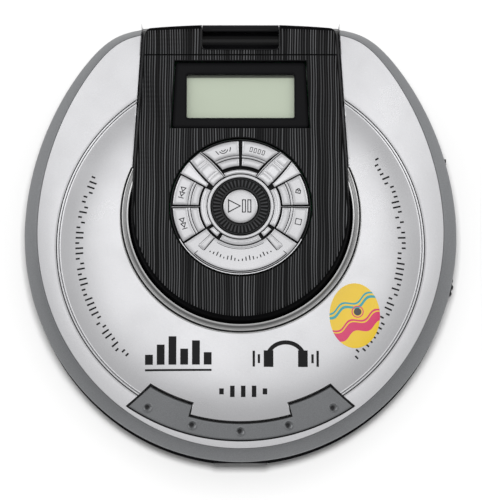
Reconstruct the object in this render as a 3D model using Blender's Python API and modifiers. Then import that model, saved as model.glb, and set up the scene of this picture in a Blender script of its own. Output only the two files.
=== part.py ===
"""Portable disc player with a hinged lid, modelled with its lid closed.

The player lies flat: +X is its right, +Y its rear (the hinge side) and +Z up.
The origin is on the table, under the middle of its bounding box.
"""

import math

import bmesh
import bpy
import numpy as np
from mathutils import Matrix

MM = 0.001

# General clearances and walls
GAP = 0.3 * MM
OVERRUN = 2.0 * MM
CASE_WALL = 1.6 * MM
LID_WALL = 1.5 * MM
PANEL_WALL = 1.6 * MM

# Plan outline of the lid's rim, measured from its widest line
HALF_WIDTH = 72.5 * MM
WIDEST_Y = 2.4 * MM
FRONT_LENGTH = 77.7 * MM
REAR_LENGTH = 89.5 * MM
REAR_EDGE = 73.0 * MM
REAR_BOW = 250.0 * MM
REAR_ROUNDNESS = 1.9
CORNER_SHARPNESS = 26.0

# Heights
FOOT_HEIGHT = 1.0 * MM
CASE_TOP = 18.0 * MM
RIM_BOTTOM = CASE_TOP + GAP
RIM_EDGE_HEIGHT = 0.9 * MM
RIM_TOP = 24.0 * MM
SEAM_HEIGHT = 25.3 * MM
DOME_RISE = 2.4 * MM
PANEL_TOP = 31.3 * MM
DECK_FLOOR = 17.9 * MM
DECK_THICKNESS = 1.0 * MM
WELL_WALL_TOP = 21.5 * MM

# Grey rim of the lid: how far its slope runs in at the sides, front and rear
RIM_SIDE = 4.5 * MM
RIM_FRONT = 3.5 * MM
RIM_REAR = 3.3 * MM
RIM_WALL = 1.4 * MM

# Black lower case
LIP_INSET = 0.5 * MM
LIP_HEIGHT = 4.6 * MM
LIP_STEP = 1.6 * MM
CASE_TUCK = 11.0 * MM

# Disc, its well and the round seam above it
DISC_RADIUS = 60.0 * MM
DISC_Y = -2.8 * MM
DISC_HEIGHT = 19.9 * MM
WELL_RADIUS = DISC_RADIUS + 1.0 * MM
WELL_WALL = 1.4 * MM
SEAM_RADIUS = 61.1 * MM
SEAM_HALF = 0.7 * MM
SEAM_DEPTH = 0.5 * MM

# Black control panel on the lid
PANEL_RADIUS = 37.15 * MM
PANEL_Y = 7.0 * MM
PANEL_REAR = 72.6 * MM
PANEL_REAR_HALF = 33.2 * MM
PANEL_REAR_BOW = 0.9 * MM
PANEL_DRAFT = 1.2 * MM
PANEL_EDGE = 1.0 * MM
PANEL_GROOVE_Y = 61.7 * MM
PANEL_GROOVE = 0.5 * MM
COLLAR_WIDTH = 2.7 * MM
COLLAR_RISE = 2.0 * MM

# Lid hinge
HINGE_Y = 70.3 * MM
HINGE_Z = 23.5 * MM
HINGE_PIN_RADIUS = 1.1 * MM
HINGE_PIN_HALF = 18.0 * MM
RECESS_HALF = 12.95 * MM
RECESS_FRONT = 63.7 * MM
RECESS_LEDGE = 28.0 * MM
SWING_RADIUS = 8.4 * MM
KNUCKLE_RADIUS = 3.0 * MM
KNUCKLE_LEAF = 2.5 * MM
KNUCKLE_TOP = 31.0 * MM
KNUCKLE_LEAF_Y = 71.3 * MM
RELIEF_RADIUS = 8.4 * MM

# Display
BEZEL_REAR = 59.4 * MM
BEZEL_FRONT = 36.5 * MM
BEZEL_REAR_HALF = 21.9 * MM
BEZEL_FRONT_HALF = 23.0 * MM
BEZEL_DEPTH = 0.9 * MM
BEZEL_THICKNESS = 1.3 * MM
GLASS_REAR = 55.2 * MM
GLASS_FRONT = 40.1 * MM
GLASS_HALF = 18.0 * MM
GLASS_THICKNESS = 0.8 * MM

# Button wheel
WHEEL_Y = 9.0 * MM
WHEEL_RADIUS = 23.5 * MM
WHEEL_GROOVE = 0.4 * MM
WHEEL_TOP = 31.9 * MM
WHEEL_PLATE_TOP = 30.0 * MM
WHEEL_PLATE_BOTTOM = 28.6 * MM
PLAY_RADIUS = 5.85 * MM
KNURL_RADIUS = 9.8 * MM
KNURL_TEETH = 30
BUTTON_OUTER = 22.8 * MM
BUTTON_INNER = 13.6 * MM
BUTTON_BOTTOM = 28.2 * MM
BUTTON_GAP = 0.25 * MM
KEY_BOARD_BOTTOM = 25.4 * MM
KEY_BOARD_THICKNESS = 0.8 * MM
KEY_SWITCH_RADIUS = 1.6 * MM
KEY_SWITCH_HEIGHT = 1.2 * MM

# Front trim plate on the lid
TRIM_OUTER = 66.4 * MM
TRIM_INNER = 60.3 * MM
TRIM_SHOULDER = 56.3 * MM
TRIM_HALF_ANGLE = 35.3
TRIM_SHOULDER_ANGLE = 32.8
TRIM_STEP_ANGLE = 16.3
TRIM_TOP = 25.1 * MM
TRIM_THICKNESS = 0.9 * MM
DIMPLE_RADIUS = 1.15 * MM
DIMPLE_DEPTH = 0.5 * MM
DIMPLE_RING = 63.3 * MM
DIMPLE_ANGLES = (-29.1, -14.6, 0.0, 14.6, 29.1)

# Lid liner
LINER_RADIUS = 60.3 * MM
LINER_BOTTOM = 22.6 * MM
LINER_THICKNESS = 0.8 * MM
POST_RADIUS = 1.6 * MM
HOOK_WIDTH = 7.0 * MM
HOOK_THICKNESS = 1.3 * MM
HOOK_BACK = 5.9 * MM
HOOK_BOTTOM = 13.4 * MM
HOOK_TOOTH = 1.1 * MM

# Open slider in the front lip
OPENER_HALF = 9.0 * MM
OPENER_HEIGHT = 2.3 * MM
OPENER_PROUD = 0.5 * MM
OPENER_TRAVEL = 1.8 * MM
OPENER_SILL = 14.3 * MM
OPENER_REACH = 9.3 * MM

# Mechanism
CHASSIS_RIGHT = 26.5 * MM
CHASSIS_LEFT = -35.0 * MM
CHASSIS_FRONT = -66.0 * MM
CHASSIS_REAR = 15.5 * MM
CHASSIS_TOP = 13.2 * MM
CHASSIS_THICKNESS = 1.2 * MM
DAMPER_RADIUS = 2.6 * MM
DAMPER_HEIGHT = 4.0 * MM
SHAFT_RADIUS = 1.0 * MM
TABLE_RADIUS = 14.5 * MM
TABLE_THICKNESS = 1.2 * MM
HUB_RADIUS = 7.2 * MM
HUB_TOP = 22.1 * MM
MOTOR_RADIUS = 9.0 * MM
MOTOR_BOTTOM = 4.2 * MM
ROD_RADIUS = 1.0 * MM
ROD_X = 17.5 * MM
ROD_Z = 9.8 * MM
SLED_HALF_X = 15.0 * MM
SLED_HALF_Y = 9.0 * MM
SLED_TOP = 16.9 * MM
SLED_BOTTOM = 8.0 * MM
SLED_Y = -22.5 * MM
SLED_TRAVEL = 31.0 * MM
SLED_EAR = 4.2 * MM
SLED_EAR_HALF_Y = 5.0 * MM
SLED_EAR_HEIGHT = 3.6 * MM
ROD_BRACKET = 2.0 * MM
RACK_WIDTH = 1.6 * MM
RACK_LENGTH = 35.0 * MM
LENS_OFFSET = -5.0 * MM
LENS_RADIUS = 2.3 * MM
LENS_TOP = 18.5 * MM
GEAR_Y = -30.0 * MM
GEAR_RADIUS = 5.6 * MM
GEAR_TEETH = 16
GEAR_THICKNESS = 1.2 * MM
TOOTH_DEPTH = 0.5 * MM
PINION_RADIUS = 1.8 * MM
PINION_TEETH = 9
SLED_MOTOR_RADIUS = 5.0 * MM
WINDOW_RADIUS = 17.5 * MM
WINDOW_HALF = 17.0 * MM
WINDOW_FRONT = -62.0 * MM

# Batteries and their bay
CELL_RADIUS = 7.05 * MM
CELL_LENGTH = 49.2 * MM
CELL_TIP_RADIUS = 2.75 * MM
CELL_TIP = 1.2 * MM
CELL_HALF_PITCH = 7.35 * MM
BAY_Y = 38.0 * MM
BAY_HALF_X = 29.6 * MM
BAY_HALF_Y = 15.2 * MM
BAY_WALL = 1.2 * MM
DOOR_THICKNESS = 1.1 * MM
CONTACT_THICKNESS = 0.4 * MM
SPRING_WIRE = 0.35 * MM
SPRING_RADIUS = 2.9 * MM
SPRING_TURNS = 4

# Right side: board, sockets, wheel and switch
BOARD_THICKNESS = 1.2 * MM
BOARD_BOTTOM = 8.0 * MM
BOARD_X = (30.0 * MM, 65.0 * MM)
BOARD_Y = (-25.5 * MM, 20.0 * MM)
SIDE_FACE_X = HALF_WIDTH - 2.3 * MM
JACK_RADIUS = 3.0 * MM
JACK_BORE = 1.75 * MM
JACK_BODY = 11.0 * MM
JACK_HALF = 3.3 * MM
JACK_Z = 13.2 * MM
JACK_NOSE = 5.2 * MM
PHONE_Y = 1.0 * MM
LINE_Y = 10.0 * MM
POWER_Y = 19.0 * MM
POWER_BORE = 2.6 * MM
VOLUME_Y = -14.0 * MM
VOLUME_RADIUS = 8.0 * MM
VOLUME_THICKNESS = 2.2 * MM
VOLUME_PROUD = 1.3 * MM
VOLUME_Z = 14.5 * MM
VOLUME_TEETH = 20
HOLD_Y = 27.0 * MM
HOLD_HALF = 2.6 * MM
HOLD_TRAVEL = 3.0 * MM
HOLD_HEIGHT = 2.0 * MM
HOLD_X = (SIDE_FACE_X - 6.2 * MM, SIDE_FACE_X - 0.7 * MM)
HOLD_Z = 14.6 * MM

# Fasteners and feet
SCREW_RADIUS = 1.1 * MM
SCREW_HEAD = 2.0 * MM
SCREW_LENGTH = 7.0 * MM
FOOT_RADIUS = 4.5 * MM
FOOT_RECESS = 0.5 * MM
FOOT_SPREAD = (37.0 * MM, 38.0 * MM)
SCREW_SPREAD = (47.0 * MM, 30.0 * MM)

ROUND_STEPS = 28
SMALL_STEPS = 12
OUTLINE_STEP = 9.0
CORNER_ANGLE = 59.0
CORNER_SPREAD_SHARES = (-0.9, -0.5, -0.15, 0.2, 0.7)
CORNER_WINDOW = 8.0


def reset_scene():
    """Empty the scene and make the two collections."""
    for item in list(bpy.data.objects):
        bpy.data.objects.remove(item, do_unlink=True)
    parts = bpy.data.collections.new("disc_player")
    cutters = bpy.data.collections.new("cutters")
    bpy.context.scene.collection.children.link(parts)
    bpy.context.scene.collection.children.link(cutters)
    return parts, cutters


PARTS, CUTTERS = reset_scene()
LOOKS = {}


def look(name, colour, roughness, metallic=0.0):
    """A Principled material, made once for each name."""
    if name not in LOOKS:
        made = bpy.data.materials.new(name)
        made.use_nodes = True
        shader = made.node_tree.nodes["Principled BSDF"]
        shader.inputs["Base Color"].default_value = (*colour, 1.0)
        shader.inputs["Roughness"].default_value = roughness
        shader.inputs["Metallic"].default_value = metallic
        LOOKS[name] = made
    return LOOKS[name]


SILVER = look("silver_paint", (0.72, 0.73, 0.74), 0.35, 0.6)
GREY = look("grey_paint", (0.2, 0.21, 0.22), 0.45, 0.3)
BLACK = look("black_plastic", (0.02, 0.02, 0.022), 0.45)
GLOSS = look("gloss_black", (0.008, 0.008, 0.009), 0.12)
CHROME = look("chrome", (0.8, 0.8, 0.81), 0.12, 1.0)
STEEL = look("steel", (0.5, 0.5, 0.51), 0.3, 1.0)
RUBBER = look("rubber", (0.03, 0.03, 0.03), 0.85)
WHITE = look("white_plastic", (0.75, 0.75, 0.72), 0.4)
BOARD = look("circuit_board", (0.02, 0.16, 0.06), 0.5)
GLASS = look("display_glass", (0.55, 0.62, 0.5), 0.1)
CELL = look("cell_wrap", (0.1, 0.12, 0.3), 0.3)


def add_object(name, mesh, finish=None):
    """Put a mesh in the parts, or with no finish among the cutters."""
    made = bpy.data.objects.new(name, mesh)
    if finish is None:
        CUTTERS.objects.link(made)
        made.hide_render = True
        made.display_type = "WIRE"
    else:
        PARTS.objects.link(made)
        mesh.materials.append(finish)
    return made


def from_bmesh(name, work, finish=None, smooth=False):
    """Turn a bmesh into an object with its faces pointing out."""
    bmesh.ops.recalc_face_normals(work, faces=work.faces)
    mesh = bpy.data.meshes.new(name)
    work.to_mesh(mesh)
    work.free()
    if smooth:
        mesh.shade_smooth()
        mesh.set_sharp_from_angle(angle=math.radians(35.0))
    return add_object(name, mesh, finish)


def box(name, low, high, finish=None):
    """A block between two corners."""
    work = bmesh.new()
    bmesh.ops.create_cube(work, size=1.0)
    low = np.array(low)
    high = np.array(high)
    bmesh.ops.scale(work, vec=high - low, verts=work.verts)
    bmesh.ops.translate(work, vec=(low + high) / 2, verts=work.verts)
    return from_bmesh(name, work, finish)


TURNS = {"x": (0.0, math.pi / 2, 0.0), "y": (math.pi / 2, 0.0, 0.0), "z": (0.0, 0.0, 0.0)}


def cylinder(name, centre, radius, length, axis="z", finish=None, steps=SMALL_STEPS, top=None):
    """A cylinder or cone about its centre; top is its radius at the far end."""
    work = bmesh.new()
    bmesh.ops.create_cone(
        work,
        cap_ends=True,
        segments=steps,
        radius1=radius,
        radius2=radius if top is None else top,
        depth=length,
    )
    made = from_bmesh(name, work, finish, smooth=True)
    made.rotation_euler = TURNS[axis]
    made.location = centre
    return made


def upright(name, spot, radius, low, high, finish=None, steps=SMALL_STEPS, top=None):
    """A vertical cylinder at a plan position, between two heights."""
    centre = (spot[0], spot[1], (low + high) / 2)
    return cylinder(name, centre, radius, high - low, "z", finish, steps, top)


def plate(name, outlines, low, high, finish=None):
    """A flat outline given thickness; further outlines are its holes."""
    curve = bpy.data.curves.new(name, "CURVE")
    curve.dimensions = "2D"
    curve.fill_mode = "BOTH"
    curve.extrude = (high - low) / 2
    for outline in outlines:
        spline = curve.splines.new("POLY")
        spline.points.add(len(outline) - 1)
        for point, (x, y) in zip(spline.points, outline):
            point.co = (x, y, 0.0, 1.0)
        spline.use_cyclic_u = True
    drawn = bpy.data.objects.new(name + "_curve", curve)
    bpy.context.scene.collection.objects.link(drawn)
    drawn.location.z = (low + high) / 2
    bpy.context.view_layer.update()
    seen = drawn.evaluated_get(bpy.context.evaluated_depsgraph_get())
    mesh = bpy.data.meshes.new_from_object(seen)
    mesh.transform(drawn.matrix_world)
    bpy.data.objects.remove(drawn)
    bpy.data.curves.remove(curve)
    work = bmesh.new()
    work.from_mesh(mesh)
    bpy.data.meshes.remove(mesh)
    bmesh.ops.remove_doubles(work, verts=work.verts, dist=GAP / 100)
    return from_bmesh(name, work, finish)


def loft(name, rings, finish=None, looped=False):
    """Skin a stack of outlines with equal point counts; looped joins last to first."""
    work = bmesh.new()
    stacks = [[work.verts.new(point) for point in ring] for ring in rings]
    pairs = list(zip(stacks, stacks[1:]))
    if looped:
        pairs.append((stacks[-1], stacks[0]))
    for lower, upper in pairs:
        count = len(lower)
        for here in range(count):
            after = (here + 1) % count
            work.faces.new((lower[here], lower[after], upper[after], upper[here]))
    if not looped:
        work.faces.new(stacks[0])
        work.faces.new(stacks[-1])
    return from_bmesh(name, work, finish)


def turned(name, profile, spot, finish=None, steps=ROUND_STEPS):
    """Spin a profile of (radius, height), run down its outer side, about an upright axis."""
    mesh = bpy.data.meshes.new(name)
    points = [(radius, 0.0, height) for radius, height in profile]
    edges = [(here, here + 1) for here in range(len(points) - 1)]
    if profile[0][0] > 0.0:
        edges.append((len(points) - 1, 0))
    mesh.from_pydata(points, edges, [])
    made = add_object(name, mesh, finish)
    made.location = (spot[0], spot[1], 0.0)
    screw = made.modifiers.new("turn", "SCREW")
    screw.steps = steps
    screw.render_steps = steps
    screw.use_merge_vertices = True
    screw.merge_threshold = GAP / 10
    screw.use_smooth_shade = True
    return made


def tube(name, route, radius, finish=None):
    """A round wire along a route, with filled ends."""
    curve = bpy.data.curves.new(name, "CURVE")
    curve.dimensions = "3D"
    curve.bevel_depth = radius
    curve.bevel_resolution = 1
    curve.use_fill_caps = True
    spline = curve.splines.new("POLY")
    spline.points.add(len(route) - 1)
    for point, (x, y, z) in zip(spline.points, route):
        point.co = (x, y, z, 1.0)
    drawn = bpy.data.objects.new(name + "_curve", curve)
    bpy.context.scene.collection.objects.link(drawn)
    bpy.context.view_layer.update()
    seen = drawn.evaluated_get(bpy.context.evaluated_depsgraph_get())
    mesh = bpy.data.meshes.new_from_object(seen)
    bpy.data.objects.remove(drawn)
    bpy.data.curves.remove(curve)
    work = bmesh.new()
    work.from_mesh(mesh)
    bpy.data.meshes.remove(mesh)
    bmesh.ops.remove_doubles(work, verts=work.verts, dist=GAP / 100)
    return from_bmesh(name, work, finish, smooth=True)


def combine(target, tools, operation):
    """Add one exact Boolean for each tool, and keep the tools among the cutters."""
    for tool in tools:
        step = target.modifiers.new(tool.name, "BOOLEAN")
        step.operation = operation
        step.solver = "EXACT"
        step.object = tool
    return target


def cut(target, *tools):
    return combine(target, tools, "DIFFERENCE")


def join(target, *tools):
    return combine(target, tools, "UNION")


def common(target, *tools):
    return combine(target, tools, "INTERSECT")


def hang_on(name, spot, pieces):
    """Parent moving pieces to an empty that stands on their joint's axis."""
    empty = bpy.data.objects.new(name, None)
    PARTS.objects.link(empty)
    empty.location = spot
    for piece in pieces:
        piece.parent = empty
        piece.matrix_parent_inverse = empty.matrix_basis.inverted()
    return empty


def outline_angles():
    """Directions of the plan outline, closer together at the two rear corners."""
    even = np.arange(-90.0, 270.0, OUTLINE_STEP)
    far = np.abs(np.abs(even - 90.0) - (90.0 - CORNER_ANGLE)) > CORNER_WINDOW
    fine = CORNER_WINDOW * np.array(CORNER_SPREAD_SHARES)
    right = CORNER_ANGLE + fine
    return np.radians(np.sort(np.concatenate((even[far], right, 180.0 - right))))


def body_outline(side=0.0, front=None, rear=None):
    """Plan outline of the lid, drawn in by an inset at the sides, front and rear.

    The front is half an ellipse. The rear is a fuller curve that meets the bowed
    rear edge in a rounded corner, through a high-order mean of the two.
    """
    front = side if front is None else front
    rear = side if rear is None else rear
    turn = outline_angles()
    across = np.cos(turn)
    along = np.sin(turn)
    width = HALF_WIDTH - side
    fore = np.hypot(across / width, along / (FRONT_LENGTH - front))
    power = REAR_ROUNDNESS
    flank = (np.abs(across) / width) ** power + (np.abs(along) / (REAR_LENGTH - rear)) ** power
    flank = flank ** (1.0 / power)
    edge = np.hypot(across / REAR_BOW, along / (REAR_EDGE - rear))
    scale = flank.max()
    aft = ((flank / scale) ** CORNER_SHARPNESS + (edge / scale) ** CORNER_SHARPNESS)
    aft = scale * aft ** (1.0 / CORNER_SHARPNESS)
    reach = 1.0 / np.where(along < 0.0, fore, aft)
    return np.stack((reach * across, WIDEST_Y + reach * along), axis=1)


def at_height(outline, height):
    """Lift a plan outline to a height."""
    outline = np.asarray(outline)
    return np.column_stack((outline, np.full(len(outline), height)))


def arc(centre, radius, start, end, count):
    """Points on an arc, with its angles in degrees."""
    turn = np.radians(np.linspace(start, end, count))
    return np.stack((centre[0] + radius * np.cos(turn), centre[1] + radius * np.sin(turn)), axis=1)


def panel_outline(inset=0.0):
    """Plan outline of the black panel: round in front, with sides that run in to the rear."""
    rise = PANEL_REAR - PANEL_Y
    lean = math.degrees(math.atan2(PANEL_RADIUS - PANEL_REAR_HALF, rise))
    front = arc((0.0, PANEL_Y), PANEL_RADIUS - inset, -180.0 - lean, lean, 27)
    half = PANEL_REAR_HALF - inset
    corner = PANEL_EDGE + PANEL_DRAFT
    rear = PANEL_REAR - inset
    right = arc((half - corner, rear - PANEL_REAR_BOW - corner), corner, lean, 90.0, 5)
    share = np.linspace(1.0, -1.0, 9)[1:-1]
    bow = np.stack((share * (half - corner), rear - PANEL_REAR_BOW * share ** 2), axis=1)
    left = right[::-1] * (-1.0, 1.0)
    return np.concatenate((front, right, bow, left))


def dome_height(radius):
    """Height of the lid's skin at a distance from the disc's axis, inside the seam."""
    return SEAM_HEIGHT + DOME_RISE * (1.0 - (radius / SEAM_RADIUS) ** 2)


def on_seam(outline, radius):
    """Points on a circle about the disc's axis, in the directions of an outline."""
    away = np.asarray(outline) - (0.0, DISC_Y)
    return (0.0, DISC_Y) + radius * away / np.linalg.norm(away, axis=1)[:, None]


def sector(centre, inner, outer, starts, ends, count=9):
    """A wheel sector; starts and ends hold its angle at the inner and outer radius."""
    near = arc(centre, inner, starts[0], ends[0], count)
    far = arc(centre, outer, ends[1], starts[1], count)
    return np.concatenate((near, far))


def hinge_roll(name, radius, half):
    """A cutter that lies along the hinge axis."""
    return cylinder(name, (0.0, HINGE_Y, HINGE_Z), radius, 2 * half, "x", steps=ROUND_STEPS)


def make_case():
    """Lower case: a tub with a tucked-in belly under an upright lip."""
    lip_bottom = CASE_TOP - LIP_HEIGHT
    rise = lip_bottom - FOOT_HEIGHT
    step = LIP_INSET + LIP_STEP
    outer = []
    inner = []
    for turn in np.radians(np.linspace(0.0, 90.0, 5)):
        inset = step + CASE_TUCK * (1.0 - math.sin(turn))
        height = FOOT_HEIGHT + rise * (1.0 - math.cos(turn))
        outer.append(at_height(body_outline(inset), height))
        floor = FOOT_HEIGHT + CASE_WALL + (rise - CASE_WALL) * (1.0 - math.cos(turn))
        inner.append(at_height(body_outline(inset + CASE_WALL), floor))
    outer.append(at_height(body_outline(LIP_INSET), lip_bottom + LIP_INSET))
    outer.append(at_height(body_outline(LIP_INSET), CASE_TOP))
    inner.append(at_height(body_outline(step + CASE_WALL), CASE_TOP))
    case = loft("bottom_case", outer + inner[::-1], BLACK)

    bosses = []
    for spot in four_spots(SCREW_SPREAD):
        low = FOOT_HEIGHT + CASE_WALL / 2
        high = DECK_FLOOR - DECK_THICKNESS - GAP
        bosses.append(upright("screw_boss", spot, SCREW_HEAD + CASE_WALL, low, high))
    for spot in damper_spots():
        low = FOOT_HEIGHT + CASE_WALL / 2
        bosses.append(upright("damper_post", spot, DAMPER_RADIUS, low, damper_bottom() - GAP))
    low = (-BAY_HALF_X - BAY_WALL, BAY_Y - BAY_HALF_Y - BAY_WALL, FOOT_HEIGHT + CASE_WALL / 2)
    high = (BAY_HALF_X + BAY_WALL, BAY_Y + BAY_HALF_Y + BAY_WALL, DECK_FLOOR - DECK_THICKNESS - GAP)
    bosses.append(box("bay_tray", low, high))
    join(case, *bosses)

    cuts = [hinge_roll("case_relief", RELIEF_RADIUS, HALF_WIDTH)]
    low = FOOT_HEIGHT - OVERRUN
    for spot in four_spots(SCREW_SPREAD):
        cuts.append(upright("screw_hole", spot, SCREW_RADIUS + GAP, low, DECK_FLOOR))
        cuts.append(upright("head_hole", spot, SCREW_HEAD + GAP, low, screw_seat() - GAP))
    for spot in four_spots(FOOT_SPREAD):
        high = FOOT_HEIGHT + FOOT_RECESS
        cuts.append(upright("foot_recess", spot, FOOT_RADIUS + GAP, low, high))
    low = (-BAY_HALF_X, BAY_Y - BAY_HALF_Y, FOOT_HEIGHT - OVERRUN)
    high = (BAY_HALF_X, BAY_Y + BAY_HALF_Y, CASE_TOP + OVERRUN)
    cuts.append(box("bay_mouth", low, high))
    lane = JACK_HALF + GAP
    low = (SIDE_FACE_X, VOLUME_Y - VOLUME_RADIUS, JACK_Z - lane)
    high = (HALF_WIDTH + OVERRUN, HOLD_Y + HOLD_HALF + HOLD_TRAVEL, CASE_TOP - LIP_INSET)
    cuts.append(box("side_face", low, high))
    for y, radius in ((PHONE_Y, JACK_RADIUS), (LINE_Y, JACK_RADIUS), (POWER_Y, JACK_RADIUS)):
        spot = (SIDE_FACE_X, y, JACK_Z)
        cuts.append(cylinder("jack_hole", spot, radius + GAP, JACK_BODY, "x", steps=ROUND_STEPS // 2))
    half = (VOLUME_RADIUS + GAP, VOLUME_THICKNESS / 2 + GAP)
    low = (SIDE_FACE_X - JACK_BODY, VOLUME_Y - half[0], VOLUME_Z - half[1])
    high = (HALF_WIDTH, VOLUME_Y + half[0], VOLUME_Z + half[1])
    cuts.append(box("volume_slot", low, high))
    low = (SIDE_FACE_X - JACK_BODY, HOLD_Y - HOLD_HALF - GAP, HOLD_Z - HOLD_HEIGHT / 2 - GAP)
    high = (HALF_WIDTH, HOLD_Y + HOLD_HALF + HOLD_TRAVEL + GAP, HOLD_Z + HOLD_HEIGHT / 2 + GAP)
    cuts.append(box("hold_slot", low, high))
    side = OPENER_HALF + GAP
    low = (-side, front_edge() - OVERRUN, OPENER_SILL - GAP)
    high = (side, front_edge() + CASE_WALL + LIP_STEP + OVERRUN, OPENER_SILL + OPENER_HEIGHT + GAP)
    cuts.append(box("opener_notch", low, high))
    return cut(case, *cuts)


def belly_inset(height):
    """How far the inside of the case's belly runs in from the lid's outline at a height."""
    rise = CASE_TOP - LIP_HEIGHT - FOOT_HEIGHT - CASE_WALL
    turn = math.acos(1.0 - (height - FOOT_HEIGHT - CASE_WALL) / rise)
    return LIP_INSET + LIP_STEP + CASE_WALL + CASE_TUCK * (1.0 - math.sin(turn))


def front_edge():
    """Y of the case lip's foremost line."""
    return WIDEST_Y - FRONT_LENGTH + LIP_INSET


def hook_y():
    """Y of the latch hook's front face."""
    return front_edge() + HOOK_BACK


def screw_seat():
    """Height where the head of a case screw rests."""
    return FOOT_HEIGHT + CASE_WALL + SCREW_HEAD


def damper_spots():
    """Plan places of the four rubber mounts of the chassis."""
    left = CHASSIS_LEFT + DAMPER_RADIUS
    right = CHASSIS_RIGHT - DAMPER_RADIUS
    front = CHASSIS_FRONT + 5 * DAMPER_RADIUS
    rear = CHASSIS_REAR - DAMPER_RADIUS
    return ((left, front), (right, front), (left, rear), (right, rear))


def damper_bottom():
    return CHASSIS_TOP - CHASSIS_THICKNESS - GAP - DAMPER_HEIGHT


def crosswise(name, outline, half, finish=None):
    """Give an outline in (y, z) a thickness along X, both ways from the middle."""
    made = plate(name, [outline], -half, half, finish)
    made.data.transform(Matrix(((0, 0, 1, 0), (1, 0, 0, 0), (0, 1, 0, 0), (0, 0, 0, 1))))
    return made


def rectangle(low, high):
    """Corners of a plan rectangle."""
    return ((low[0], low[1]), (high[0], low[1]), (high[0], high[1]), (low[0], high[1]))


def make_deck():
    """Upper case: the floor of the disc well, its round wall and the hinge trough."""
    inner = body_outline(LIP_INSET + LIP_STEP + CASE_WALL + GAP)
    deck = plate("disc_deck", [inner], DECK_FLOOR - DECK_THICKNESS, DECK_FLOOR, BLACK)
    trough_low = HINGE_Z - RELIEF_RADIUS - DECK_THICKNESS
    inset = LIP_INSET + LIP_STEP + CASE_WALL + 2 * GAP
    trough_top = DECK_FLOOR - DECK_THICKNESS / 2
    trough = plate("hinge_trough", [body_outline(inset)], trough_low, trough_top)
    common(trough, hinge_roll("trough_skin", RELIEF_RADIUS + DECK_THICKNESS, HALF_WIDTH))
    outside = WELL_RADIUS + WELL_WALL
    low = DECK_FLOOR - DECK_THICKNESS / 2
    profile = (
        (outside, WELL_WALL_TOP),
        (outside, low),
        (WELL_RADIUS, low),
        (WELL_RADIUS, WELL_WALL_TOP),
    )
    wall = turned("well_wall", profile, (0.0, DISC_Y), steps=2 * ROUND_STEPS)
    join(deck, trough, wall)
    slot = (WINDOW_HALF, DISC_Y)
    low_z = DECK_FLOOR - DECK_THICKNESS - OVERRUN
    high_z = DECK_FLOOR + GAP
    hook = HOOK_WIDTH / 2 + 2 * GAP
    lens = 2 * LENS_RADIUS
    lens_front = SLED_Y + LENS_OFFSET - lens - SLED_TRAVEL - GAP
    cuts = (
        hinge_roll("deck_relief", RELIEF_RADIUS, HALF_WIDTH),
        box("lens_window", (-lens, lens_front, low_z), (lens, slot[1], high_z)),
        upright("hub_window", (0.0, DISC_Y), WINDOW_RADIUS, low_z, high_z, steps=ROUND_STEPS),
        box("sled_window", (-slot[0], WINDOW_FRONT, low_z), (slot[0], slot[1], high_z)),
        box("hook_slot", (-hook, hook_y() - 2 * GAP, low_z), (hook, hook_y() + HOOK_WIDTH / 2, high_z)),
    )
    return cut(deck, *cuts)


def make_hinge():
    """The base's knuckle with its leaf, and the steel pin through it."""
    foot = arc((HINGE_Y, HINGE_Z), RELIEF_RADIUS - GAP, -120.0, -74.0, 7)
    front = arc((HINGE_Y, HINGE_Z), KNUCKLE_RADIUS, 105.0, 200.0, 7)
    rear_y = KNUCKLE_LEAF_Y + KNUCKLE_LEAF
    round_off = KNUCKLE_LEAF / 4
    leaf = (
        (rear_y, HINGE_Z - KNUCKLE_RADIUS),
        (rear_y, KNUCKLE_TOP - round_off),
        (rear_y - round_off, KNUCKLE_TOP),
        (KNUCKLE_LEAF_Y + round_off, KNUCKLE_TOP),
        (KNUCKLE_LEAF_Y, KNUCKLE_TOP - round_off),
        (KNUCKLE_LEAF_Y, HINGE_Z + KNUCKLE_RADIUS),
    )
    outline = np.concatenate((foot, leaf, front))
    knuckle = crosswise("hinge_knuckle", outline, RECESS_HALF - GAP, GLOSS)
    cut(knuckle, hinge_roll("knuckle_bore", HINGE_PIN_RADIUS + GAP, HALF_WIDTH))
    centre = (0.0, HINGE_Y, HINGE_Z)
    cylinder("hinge_pin", centre, HINGE_PIN_RADIUS, 2 * HINGE_PIN_HALF, "x", STEEL)
    return knuckle


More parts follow.
